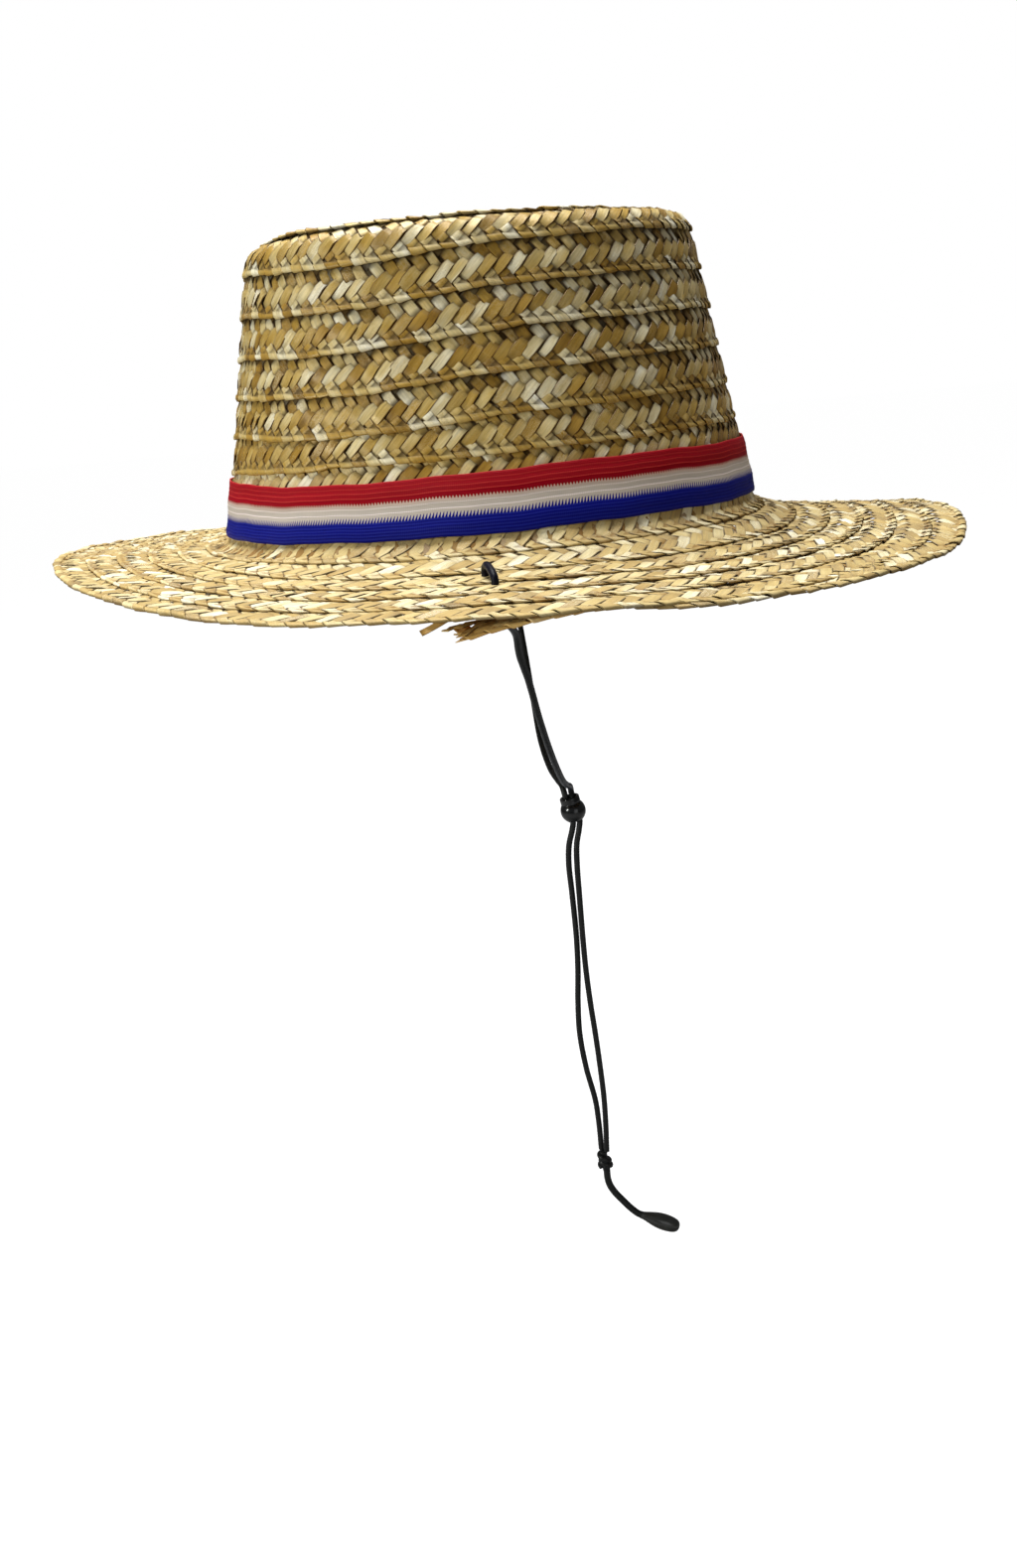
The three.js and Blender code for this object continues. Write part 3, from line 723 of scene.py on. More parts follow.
plait = {
    "straws": 7,
    "step": 4.75,
    "brimStep": 5.6,  # the straws are broader in the brim
    "edgeLow": -0.85,
    "edgeHigh": 14.9,
    "width": 15.5,
    "halfThick": 0.17,
    "halfWidth": 0.503,
    "steeper": 0.62,
    "slant": 0.12,  # the folds of one edge run this much ahead of the other
    "shingle": 0.06,
    "foldWide": 0.95,
    "foldHigh": 0.34,
    "foldLift": 0.1,
    "brimFold": 0.58,  # how fat a fold is in the brim, and at the hat's own edge
    "edgeFold": 1.65,
    "foldShingle": 0.24,  # how far one end of a fold stands out over its neighbour
    "edgeShingle": 0.15,
    "firstRow": 6.9,
    "row": 13.06,
    "upperTurns": 10,
    "crownTurns": 13,
    "brimTurns": 5,
    "starts": -0.13,
    "ends": 19.0,
    # across the plait (mm) and how far under the hat's outside its middle lies there:
    # each round dips below the edge of the last one, so that the edge throws a shadow
    "liesAt": [0, 1.4, 3.0, 5.6, 15.5],
    "lies": [-1.48, -1.55, -1.72, -1.22, -0.66],
    "liesFlatter": [-1.48, -1.52, -1.44, -1.06, -0.66],  # in the brim
    # in turns, from where to where: it lies flatter, its steps grow, the brim's folds
    # begin, and the folds of the hat's own edge
    "flattens": (13.2, 13.8),
    "stepGrows": (12.6, 14.2),
    "brimBegins": (13.0, 13.5),
    "edgeBegins": (17.88, 17.94),
    # straws stand aside for the cord: where, how far from its middle, how far off it is felt
    "cordHoles": [loop["near"], loop["far"]],
    "holeClear": 1.75,
    "holeReach": 3.2,
    # the crown's rows lie a little unevenly: at (degrees), how wide, how far down, and from
    # which turns to which the unevenness comes and goes
    "sag": 1.1,
    "sags": [(152, 27, 2.3), (98, 24, -1.2)],
    "sagComes": (2, 4.5),
    "sagGoes": (9.3, 10.0),
    "topRise": [(98, 24, 2.0)],
    "riseGoes": (5.2, 7.2),
    "tipBulge": [(142, 26, 1.4)],
    "bulgeAt": (60, 14),
    # the ends, in turns: from, to, how far (mm) it dives or slips in or out
    "startDive": (-0.13, -0.02, 2.6),
    "endDive": (18.90, 18.96, 1.15),
    "endSlipsIn": (0.942, 0.964, 5.5),
    "endSlipsOut": (0.964, 0.995, 4.6),
    "endHangs": {"from": 18.966, "over": 0.046, "far": 5.4, "power": 2.1},
    "cutAt": 19.0095,
    # the painted shadow of the round above, by place in the crossing, on the way home and out
    "lapShadowPainted": [([4.95, 5.43], [0, 0.62]), ([1.42, 1.74], [0.9, 0])],
}
upperEnd = plait["firstRow"] + plait["row"] * plait["upperTurns"]
footRow = (crownEnd - upperEnd) / (plait["crownTurns"] - plait["upperTurns"])
strawPitch = (plait["edgeHigh"] - plait["edgeLow"]) / plait["straws"]


def outerEdge(turns):
    # distance along the profile of the plait's outer edge, by turns of the spiral
    angle = math.pi - 2 * math.pi * turns
    tip = plait["firstRow"] + plait["row"] * np.where(turns < 1, np.clip(2 * turns, 0, 1), turns)
    rise = bumps(angle, plait["topRise"]) * (1 - smoothStep(*plait["riseGoes"], turns))
    sag = plait["sag"] + bumps(angle, plait["sags"]) - rise
    comes, goes = (smoothStep(*plait[key], turns) for key in ("sagComes", "sagGoes"))
    tip = tip + sag * comes * (1 - goes)
    foot = upperEnd + footRow * (turns - plait["upperTurns"])
    beyond = turns - plait["crownTurns"]
    share = beyond - np.floor(beyond)
    whole = np.clip(np.floor(beyond), 0, plait["brimTurns"])
    reach = edgeOfBrim(share, False) - hatForm["footRadius"]
    inner = (whole + share) / (plait["brimTurns"] + share) * reach
    # the last turn follows the edge; at its very end it slips well under and comes out again
    past = beyond - plait["brimTurns"]
    last = edgeOfBrim(np.clip(past, 0, 1)) - hatForm["footRadius"]
    for key, way in (("endSlipsIn", -1), ("endSlipsOut", 1)):
        begins, ends, far = plait[key]
        last = last + way * far * smoothStep(begins, ends, past)
    brim = crownEnd + np.where(past >= 0, last, inner)
    return np.where(turns < plait["upperTurns"], tip, np.where(beyond < 0, foot, brim))


def tuckedUnder(turns):
    # how far the plait dives at its start and where its last turn slides under the edge
    begins, ends, far = plait["startDive"]
    start = far * (1 - smoothStep(begins, ends, turns))
    begins, ends, far = plait["endDive"]
    end = far * smoothStep(begins, ends, turns)
    hangs = plait["endHangs"]
    loose = np.clip((turns - hangs["from"]) / hangs["over"], 0, 1.3)
    return start + end + hangs["far"] * loose ** hangs["power"]


def plaitPoint(turns, across, lift):
    # a point of the plait: turns round the hat, mm across it from its inner edge, mm over
    # its middle
    angle = math.pi - 2 * math.pi * turns
    s = outerEdge(turns) - plait["width"] + across
    radius, height, turn = profileAt(s)
    # the first round lies flat, the others lean on the one before
    place = plait["width"] - (plait["width"] - across) * smoothStep(0.1, 0.7, turns)
    flatter = smoothStep(*plait["flattens"], turns)
    lying = np.interp(place, plait["liesAt"], plait["lies"]) * (1 - flatter)
    lying = lying + np.interp(place, plait["liesAt"], plait["liesFlatter"]) * flatter
    offset = lying + lift - tuckedUnder(turns)
    # the brim falls by its share of the way to the edge
    lastTurn = plait["crownTurns"] + plait["brimTurns"]
    outline = np.where(turns >= lastTurn, edgeOfBrim(np.clip(turns - lastTurn, 0, 1)),
                       edgeOfBrim(np.mod(turns, 1.0)))
    foot = hatForm["footRadius"]
    way = np.clip((radius - foot) / (outline - foot), 0, 1.1)
    height = height - fallAt(np.where(radius < foot, radius, foot + brimSpan * way), angle)
    bulgeAt, bulgeWide = plait["bulgeAt"]
    bulge = np.exp(-((s - bulgeAt) / bulgeWide) ** 2)
    height = height + bumps(angle, plait["tipBulge"]) * bulge
    r = radius + offset * np.sin(turn)
    z = height + offset * np.cos(turn)
    return np.stack([r * np.cos(angle), (r + ovalAt(radius)) * np.sin(angle), z], -1)


def roundCords(points):
    # the straws stand aside where a cord goes through the brim
    for x, y in plait["cordHoles"]:
        for side in (-1, 1):
            gap = points[..., :2] - np.array([side * x, y])
            far = np.maximum(np.hypot(gap[..., 0], gap[..., 1]), 0.05)
            clear = plait["holeClear"] * np.exp(-(far / plait["holeReach"]) ** 2)
            push = (np.hypot(far, clear) - far) / far
            near = (far < 8) & (points[..., 2] < 8)  # not the crown's side
            points[..., :2] += np.where(near, push, 0.0)[..., None] * gap
    return points


def measurePlait():
    # turns of the spiral against the length of plait used
    turns = np.linspace(plait["starts"] - 0.2, plait["ends"] + 0.06, 9000)
    middle = plaitPoint(turns, plait["width"] / 2 + 0 * turns, 0 * turns)
    steps = np.linalg.norm(np.diff(middle, axis=0), axis=1)
    used = np.concatenate([[0], np.cumsum(steps)])
    return turns, used


spiralTurns, spiralUsed = measurePlait()


def turnsAt(used):
    return np.interp(used, spiralUsed, spiralTurns)


def usedAt(turns):
    return np.interp(turns, spiralTurns, spiralUsed)


def measureSteps():
    # how far along the plait each step of the weave lies: the steps grow towards the brim
    used = np.linspace(spiralUsed[0], spiralUsed[-1], 6000)
    grown = smoothStep(*plait["stepGrows"], turnsAt(used))
    size = plait["step"] + (plait["brimStep"] - plait["step"]) * grown
    steps = np.concatenate([[0], np.cumsum(np.diff(used) / ((size[1:] + size[:-1]) / 2))])
    return steps, used


stepNumber, stepUsed = measureSteps()


def usedAtStep(steps):
    return np.interp(steps, stepNumber, stepUsed)


def stepAt(turns):
    return np.interp(usedAt(turns), stepUsed, stepNumber)


def wrapAt(degrees):
    # the straw folds round the outer edge: where it lies there, and which way it faces
    wide, high = plait["foldWide"], plait["foldHigh"]
    out, up = math.cos(math.radians(degrees)), math.sin(math.radians(degrees))
    inward = math.degrees(math.atan2(-up / high, -out / wide)) % 360
    return plait["width"] - wide + wide * out, plait["foldLift"] + high * up, inward


def strawStations():
    # one straw from the inner edge out to the outer edge and back, as rows of place along
    # (steps), across (mm), lift (mm), lean with the edge, roll, thickness, way, place in
    # crossing, and painted shade: dark where the straw dives under others and round its fold
    n = plait["straws"]
    low = plait["edgeLow"]
    # the last number of each row below is painted shade, 1 where the straw dives under others
    outward = [
        (0.82, 0.02, 0.8, 0.5), (1.12, 0.22, 1.0, 0), (1.42, 0.16, 1.0, 0), (1.74, -0.24, 0.9, 1),
        (3.08, -0.24, 0.9, 1), (3.32, 0.22, 1.0, 0.3), (3.75, 0.50, 1.1, 0), (4.75, 0.30, 1.1, 0),
        (5.42, 0.14, 1.0, 0.15), (5.74, -0.24, 0.9, 1), (6.3, -0.26, 0.9, 1)]
    homeward = [
        (0.86, 0.04, 0.9, 0.75), (0.97, 0.19, 1.0, 0.0), (1.5, 0.15, 1.0, 0.05),
        (1.8, -0.24, 0.9, 1), (3.4, -0.24, 0.9, 1), (3.72, 0.04, 1.0, 0.6), (4.15, 0.17, 1.1, 0),
        (4.95, 0.26, 1.1, 0), (5.43, 0.16, 1.0, 0.1), (5.73, -0.22, 0.9, 1), (6.3, -0.26, 0.9, 1)]
    rows = [(0.2, low + 0.5, 0.22, 0.6, 95, 1.0, 0, 0.4, 0.5)]
    for d, lift, thick, shade in outward:
        rows.append((d / 2, low + strawPitch * d, lift, 0.0, 90, thick, 0, d, shade))
    # round the fold: degrees, place, painted shade, darkest underneath and as a painted dark line
    # above the fold
    wraps = ((-90, 3.24, 1.0), (-32, 3.36, 0.8), (18, 3.48, 0.25), (58, 3.6, 0.0),
             (100, 3.72, 0.0), (148, 3.84, 0.4))
    for where, place, shade in wraps:
        across, lift, inward = wrapAt(where)
        rows.append((place, across, lift, 1.0, inward, 1.15, 1, 0.0, shade))
    for d, lift, thick, shade in homeward:
        across = plait["edgeHigh"] - strawPitch * d
        rows.append(((n + d) / 2, across, lift, 0.0, 270, thick, 1, d, shade))
    rows.append((6.86, low + 0.2, -0.26, 0.8, 230, 1.0, 0, 0.0, 1))
    rows.append((7.02, low - 0.42, 0.0, 1.0, 180, 1.0, 0, 0.0, 0.8))
    return np.array(rows, dtype=float)


# outline of a flattened straw: across, up
strawOutline = np.array([(-1, 0), (-0.84, 1), (0.84, 1), (1, 0), (0.84, -1), (-0.84, -1)])


def strawNumbers(count, draw):
    # each straw is followed by another after a few folds; a number for each stretch
    numbers = np.zeros(count)
    for lane in range(plait["straws"]):
        places = np.arange(lane, count, plait["straws"])
        k = 0
        while k < len(places):
            run = draw.integers(*variety["folds"])
            numbers[places[k:k + run]] = draw.random()
            k += run
    return numbers


def wave(x, draw, lengths, sizes):
    # a slow unevenness: a few waves, each begun at a random place
    out = np.zeros_like(x)
    for length, size in zip(lengths, sizes):
        out += size * np.sin(2 * math.pi * x / length + draw.random() * 6.28)
    return out


# how far straws differ, as a share of their size or in mm
variety = {
    "wide": 0.09,
    "shift": 0.085,
    "raised": 0.06,
    "puff": 0.18,
    "bow": 0.05,
    "tilt": 0.17,
    "nod": 0.12,
    "foldSize": 0.26,
    "foldReach": 0.14,
    "foldShingle": 0.35,
    # shade: how far the painted shade in the hollows differs from straw to straw
    "shade": 0.12,
    "crownMore": 0.4,  # tilt and nod are this much stronger in the crown
    "broad": {"above": 1.55, "wider": 0.24, "higher": 0.16},
    "splayUp": 0.55,
    "splayAside": 0.5,
    "splayOver": 9.0,
    "cutSpread": 1.9,
    "folds": (1, 5),  # one straw lasts from one fold up to four
    # slow waves (mm): how long, how far; across the plait, and over its middle
    "wanders": ((57, 23, 11), (0.20, 0.16, 0.10)),
    "rises": ((71, 31, 13), (0.12, 0.12, 0.07)),
}


def weavePlait(fromTurns, toTurns, draw, cut):
    # every straw between two places of the spiral: points, quads, grain and painted shade;
    # the last length is cut off raggedly
    n = plait["straws"]
    first = int(round(stepAt(fromTurns) - n / 2))
    last = int(round(stepAt(toTurns) - n / 2))
    lanes = np.arange(first, last)
    count = len(lanes)
    rows = strawStations()
    place, across0, lift0, lean, roll, thick, way, d, paintedShadeAt = rows.T
    back = way == 1
    seen = np.exp(-((d - 4.5) / 1.15) ** 2) + 0.6 * np.exp(-((d - 1.3) / 0.5) ** 2)
    middle = np.sin(math.pi * d / n)
    onFold = d < 0.4

    def perPass(size, low=-2.0, high=2.0):
        # one draw for the way out and one for the way back
        pair = size * draw.standard_normal((count, 2)).clip(low, high)
        return np.where(back, pair[:, 1:], pair[:, :1])

    # now and then a broad straw lies over its neighbours
    broad = variety["broad"]
    odd = (perPass(1.0, -4, 4) > broad["above"]) * seen
    wide = 1 + perPass(variety["wide"], -2.2, 1.0) + broad["wider"] * odd
    wide = wide + np.where(back, -0.04, 0.12) * seen + 0.2 * (paintedShadeAt > 0.9)
    shift = perPass(variety["shift"]) * middle
    raised = perPass(variety["raised"]) * seen + broad["higher"] * odd
    puff = 1 + perPass(variety["puff"], -1.5, 2)
    bow = perPass(variety["bow"]) * np.sin(2 * math.pi * d / n)
    laneTurns = turnsAt(usedAtStep(lanes + n / 2))[:, None]
    inBrim = smoothStep(*plait["brimBegins"], laneTurns)
    atEdge = smoothStep(*plait["edgeBegins"], laneTurns)
    uneven = 1 + variety["crownMore"] * (1 - inBrim)
    tilt = (plait["shingle"] + perPass(variety["tilt"]) * uneven) * seen
    nod = perPass(variety["nod"]) * uneven * seen * np.clip(d - 4.5, -1, 1)
    fold = onFold & back
    foldSize = 1 + (plait["brimFold"] - 1) * inBrim
    foldSize = foldSize + (plait["edgeFold"] - plait["brimFold"]) * atEdge
    foldSize = np.where(fold, (1 + perPass(variety["foldSize"])) * foldSize, 1.0)
    foldReach = 0.35 * atEdge - 0.2 * inBrim * (1 - atEdge) + perPass(variety["foldReach"])
    foldReach = np.where(fold, foldReach, 0.0)
    standing = plait["foldShingle"] + (plait["edgeShingle"] - plait["foldShingle"]) * atEdge
    standing = np.where(fold, standing, 0.0) * (1 + perPass(variety["foldShingle"]))

    # e runs across the straw, in steps of the plait
    out = strawOutline[:, 0][None, None, :]
    e = out * (plait["halfWidth"] * np.where(onFold, 1.0, wide))[..., None]
    slide = (shift + bow)[..., None]
    turnUp = lean[None, :, None]
    sign = np.where(back, 1.0, -1.0)[None, :, None]
    used = usedAtStep(lanes[:, None, None] + place[None, :, None] + slide + e * (1 + turnUp) / 2)
    across = across0[None, :, None] + sign * strawPitch * e * (1 - turnUp)
    across = across + (foldReach * (across0 - plait["width"] + plait["foldWide"]))[..., None]
    # the straws stand a little steeper where they show
    fromEdge = np.where(back[None, :, None], plait["edgeHigh"] - across, across - plait["edgeLow"])
    used = used + plait["steeper"] * (1 - turnUp) * np.interp(
        fromEdge / strawPitch, [0, 0.7, 1.9, 3.3, 5.6, 7], [0, 0.35, -0.1, 1, -1, 0])
    used = used + plait["slant"] * (across - plait["width"] / 2)

    angle = np.radians(roll)[None, :, None]
    proud = (plait["halfThick"] * thick * puff)[..., None] * strawOutline[:, 1]
    proud = proud - standing[..., None] * out
    lift = (lift0 * foldSize + raised + nod)[..., None] + tilt[..., None] * out
    across = across + np.cos(angle) * proud
    lift = lift + np.sin(angle) * proud
    wobble = wave(used, draw, *variety["wanders"])
    lift = lift + wave(used, draw, *variety["rises"])
    if cut:  # the last few straws are splayed
        over = variety["splayOver"]
        past = np.clip((used - usedAt(plait["cutAt"]) + over) / over, 0, 1.2) ** 2
        lift = lift + past * perPass(variety["splayUp"])[..., None]
        across = across + past * perPass(variety["splayAside"])[..., None]
    points = roundCords(plaitPoint(turnsAt(used), across + wobble, lift))

    numbers = strawNumbers(count, draw)
    other = strawNumbers(count, draw)
    grain = np.zeros_like(points)
    steps = np.hypot(np.diff(place) * plait["step"], np.diff(across0))
    travelled = np.concatenate([[0], np.cumsum(steps)])
    grain[..., 0] = (lanes[:, None] * 7.7 + travelled)[..., None]
    grain[..., 1] = out * np.where(onFold, 1.28, 1.6)[None, :, None]
    grain[..., 2] = np.where(back, other[:, None], numbers[:, None])[..., None]
    # painted shade where the straw dives under others, and a painted shadow under the round above
    # it on the crown
    paintedLapShadow = np.where(back, *(np.interp(d, *part) for part in plait["lapShadowPainted"]))
    paintedLapShadow = paintedLapShadow * (1 - inBrim)
    dark = paintedShadeAt + paintedLapShadow + perPass(variety["shade"]) * (paintedShadeAt > 0)
    dark = np.broadcast_to(np.clip(dark, 0, 1)[..., None], points.shape[:-1])
    if cut:
        ragged = draw.standard_normal(count).clip(-1.2, 1.4)
        stops = usedAt(plait["cutAt"]) + variety["cutSpread"] * ragged
        slanted = used.mean(-1) + 0.5 * (across.mean(-1) - plait["width"] / 2)
        return cutStraws(points, grain, dark, slanted, stops, n)
    quads = strawFaces(*points.shape[:3], n)
    return points.reshape(-1, 3), quads, grain.reshape(-1, 3), dark.reshape(-1)


# the flat ends of a straw, as quads of its outline's corners
farEnd = np.array([(0, 1, 2, 3), (0, 3, 4, 5)])
nearEnd = farEnd[:, [0, 3, 2, 1]]


def cutStraws(points, grain, dark, reach, stops, lanes):
    # each straw ends where it is cut: faces up to there, and a lid on both ends
    count, stations, around = points.shape[:3]
    number = np.arange(count * stations * around).reshape(count, stations, around)
    quads = []
    for k in range(count):
        beyond = reach[k] >= stops[k]
        end = int(np.argmax(beyond)) if beyond.any() else stations
        if end == 0:
            continue
        rings = number[k, :end]
        if end < stations:
            share = (stops[k] - reach[k, end - 1]) / (reach[k, end] - reach[k, end - 1])
            points[k, end] = points[k, end - 1] + (points[k, end] - points[k, end - 1]) * share
            rings = number[k, :end + 1]
        elif k + lanes < count and reach[k + lanes, 0] < stops[k + lanes]:
            rings = np.vstack([rings, number[k + lanes, :1]])
        beside = np.roll(rings, -1, axis=1)
        quads.append(np.stack([rings[:-1], beside[:-1], beside[1:], rings[1:]], -1).reshape(-1, 4))
        runsIn = k >= lanes and not (reach[k - lanes] >= stops[k - lanes]).any()
        if not runsIn:
            quads.append(rings[0][nearEnd])
        if end < stations or len(rings) == stations:
            quads.append(rings[-1][farEnd])
    quads = np.vstack(quads)
    kept = np.unique(quads)
    place = np.zeros(number.size, dtype=int)
    place[kept] = np.arange(len(kept))
    points, grain = points.reshape(-1, 3)[kept], grain.reshape(-1, 3)[kept]
    return points, place[quads], grain, dark.reshape(-1)[kept]


def strawFaces(count, stations, around, lanes):
    # tubes run on from a straw's last station to the first of the one seven places on
    per = stations * around
    k = np.arange(count)[:, None, None]
    i = np.arange(stations)[None, :, None]
    j = np.arange(around)[None, None, :]
    nextJ = (j + 1) % around
    here = k * per + i * around
    onward = np.where(i == stations - 1, (k + lanes) * per, here + around)
    quads = np.stack(np.broadcast_arrays(here + j, here + nextJ, onward + nextJ, onward + j), -1)
    keep = np.broadcast_to((i < stations - 1) | (k + lanes < count), quads.shape[:-1])
    begins = np.arange(lanes)[:, None, None] * per + nearEnd
    ends = np.arange(count - lanes + 1, count + 1)[:, None, None] * per - around + farEnd
    return np.vstack([quads[keep], begins.reshape(-1, 4), ends.reshape(-1, 4)])


def strawCreases(ends):
    # the two long edges of a flattened straw, above and below
    side = ends % len(strawOutline)
    return (side[:, 0] == side[:, 1]) & (side[:, 0] % 3 != 0)


# pale lifts the colours towards cream, dull roughens, spread is how far straws differ in
# colour; deep is the colour of the painted shade in the hollows between straws, depth its
# strength; past a given share of its width, set for each finish, a straw's sides are
# painted dark as painted shade in the gaps between straws; warm tints it all
crownFinish = {
    "pale": 0.0, "dull": 0.0, "shine": 0.5, "spread": 0.74, "depth": 0.95, "deep": (34, 15, 0),
    "sidesShadedFrom": 1.16, "warm": (0.98, 0.98, 0.97),
}
brimFinish = {
    "pale": 0.2, "dull": 0.05, "shine": 0.2, "spread": 0.8, "depth": 0.72, "deep": (108, 64, 12),
    "sidesShadedFrom": 1.14, "warm": (1, 1, 1),
}
# the cut end lies in shade under the brim's edge: its straws are painted lighter and warmer,
# painted light that lifts that shade
cutEndPaintedLighter = {
    "pale": 0.2, "dull": 0.05, "shine": 0.5, "spread": 0.6, "depth": 0.4, "deep": (170, 118, 44),
    "sidesShadedFrom": 1.25, "warm": (1.42, 1.16, 0.78),
}
strawColours = {
    "stops": [  # from the darkest straws to the palest
        (0.00, (92, 62, 14)), (0.13, (142, 107, 38)), (0.28, (172, 136, 58)),
        (0.42, (180, 148, 74)), (0.56, (198, 172, 106)), (0.72, (216, 199, 150)),
        (0.86, (236, 228, 198)), (1.00, (251, 248, 236))],
    # the colour of the painted shade along a straw's sides
    "sides": (72, 40, 6),
    "cream": (238, 230, 192),
    "gloss": (1, 0.84, 0.56, 1),
}


def strawMaterial(name, finish):
    material, tree, shader = newMaterial(name)
    along, across, number = grainParts(tree)
    own = addNode(tree, "ShaderNodeTexWhiteNoise", {"noise_dimensions": "1D"},
                  W=mathNode(tree, "MULTIPLY", number, 977.0)).outputs[0]
    drift = stretchedNoise(tree, along, across, number, (0.09, 0.35), 2.0, 0.5)
    tone = mathNode(tree, "MULTIPLY_ADD", drift, 0.55,
                    mathNode(tree, "MULTIPLY", own, finish["spread"]))
    tone = mathNode(tree, "SUBTRACT", tone, 0.2 - (0.85 - finish["spread"]) / 2)
    base = colourRamp(tree, tone, [(at, paint(*seen)) for at, seen in strawColours["stops"]])
    # fibres, and the sides painted dark: painted shade in the gaps between straws
    fibre = stretchedNoise(tree, along, across, number, (0.12, 2.1), 5.0, 0.7)
    fine = stretchedNoise(tree, along, across, number, (0.3, 6.0), 3.0, 0.6)
    shade = mathNode(tree, "MULTIPLY_ADD", fibre, 1.1, 0.42)
    darker = mixColours(tree, 1.0, base, shade, "MULTIPLY")
    # darker towards the straw's sides: painted shade in the gaps between straws
    edge = addNode(tree, "ShaderNodeMapRange", i0=mathNode(tree, "ABSOLUTE", across),
                   i1=finish["sidesShadedFrom"], i2=1.46, i3=0.0, i4=0.88).outputs[0]
    shaded = mixColours(tree, edge, darker, paint(*strawColours["sides"]))
    lifted = mixColours(tree, finish["pale"], shaded, paint(*strawColours["cream"]))
    # painted shade in the hollows between straws and under the round above
    paintedHollowShade = addNode(tree, "ShaderNodeAttribute", {"attribute_name": "shade"}).outputs["Fac"]
    final = mixColours(tree, mathNode(tree, "MULTIPLY", paintedHollowShade, finish["depth"]), lifted,
                       paint(*finish["deep"]))
    final = mixColours(tree, 1.0, final, (*finish["warm"], 1), "MULTIPLY")
    height = mathNode(tree, "ADD", fibre, mathNode(tree, "MULTIPLY", fine, 0.5))
    dress(tree, shader, final, height, 0.45, 0.00022)
    # some straws are glossier than others, and where shade is painted they are rougher
    glaze = mathNode(tree, "FRACT", mathNode(tree, "MULTIPLY", own, 7.0))
    rough = mathNode(tree, "MULTIPLY_ADD", fine, 0.2, 0.13 + finish["dull"])
    rough = mathNode(tree, "MULTIPLY_ADD", glaze, 0.22, rough)
    rough = mathNode(tree, "MULTIPLY_ADD", paintedHollowShade, 0.6, rough)
    tree.links.new(rough, shader.inputs["Roughness"])
    shader.inputs["Specular IOR Level"].default_value = finish["shine"]
    shader.inputs["Specular Tint"].default_value = strawColours["gloss"]
    return material


crownStraw = strawMaterial("straw_crown", crownFinish)
brimStraw = strawMaterial("straw_brim", brimFinish)
# the cut end's straw, painted lighter and warmer against the shade it lies in
cutStraw = strawMaterial("straw_cut_end_painted_lighter", cutEndPaintedLighter)

# one straw end that sticks out from under the edge of the brim
looseEnd = {
    "start": np.array([-149.5, 12.6, -7.4]),
    "end": np.array([-151.6, 19.9, -10.4]),
    "faces": [-0.9, 0.1, 0.6],
    "wide": 1.9,
    "thick": 0.35,
    "droop": 0.5,
    "rings": 6,
    "number": 0.83,  # which straw's colour it has
}


def looseStraw():
    line = looseEnd["end"] - looseEnd["start"]
    length = np.linalg.norm(line)
    rings, around = looseEnd["rings"], len(strawOutline)
    along = np.linspace(0, 1, rings)[:, None]
    path = looseEnd["start"] + line * along
    path[:, 2:] -= looseEnd["droop"] * (along - along ** 2)
    ahead = line / length
    up = np.cross(ahead, np.cross(looseEnd["faces"], ahead))
    up /= np.linalg.norm(up)
    side = np.cross(up, ahead)
    ring = strawOutline[:, :1] * side * looseEnd["wide"] / 2
    ring = ring + strawOutline[:, 1:] * up * looseEnd["thick"] / 2
    points = (path[:, None, :] + ring[None]).reshape(-1, 3)
    grain = np.stack(np.broadcast_arrays(along * length, strawOutline[:, 0] * 1.4,
                                         looseEnd["number"]), -1).reshape(-1, 3)
    lastRing = (rings - 1) * around
    quads = np.vstack([gridFaces(rings, around), farEnd, lastRing + nearEnd])
    return points, quads, grain


# the spiral in lengths short enough to handle: name, from, to (turns), material, stands for
lengths = [
    ("plait_tip_and_shoulder", -0.13, 6.1, crownStraw, ["crown"]),
    ("plait_upper_side", 6.1, 8.6, crownStraw, ["crown"]),
    ("plait_lower_side", 8.6, 11.1, crownStraw, ["crown"]),
    ("plait_foot", 11.1, 13.6, brimStraw, ["crown", "brim"]),
    ("plait_inner_brim", 13.6, 16.4, brimStraw, ["brim"]),
    ("plait_outer_brim", 16.4, 18.965, brimStraw, ["brim"]),
    ("plait_cut_end", 18.965, 19.045, cutStraw, ["plait_end"]),
]
for name, fromTurns, toTurns, material, stands in lengths:
    last = stands == ["plait_end"]
    points, quads, grain, dark = weavePlait(fromTurns, toTurns, rng, last)
    if last:
        points, quads, grain = addParts([(points, quads, grain), looseStraw()])
        dark = np.append(dark, np.zeros(len(points) - len(dark)))
    obj = makePiece(name, points, quads, material, grain,
                    strawCreases, dark)
    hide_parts(*stands)
print("plait woven:", round(usedAt(plait["ends"]) - usedAt(plait["starts"])), "mm")


# ribbon: three woven stripes, drawn tight round the foot of the crown and lapped on the far side

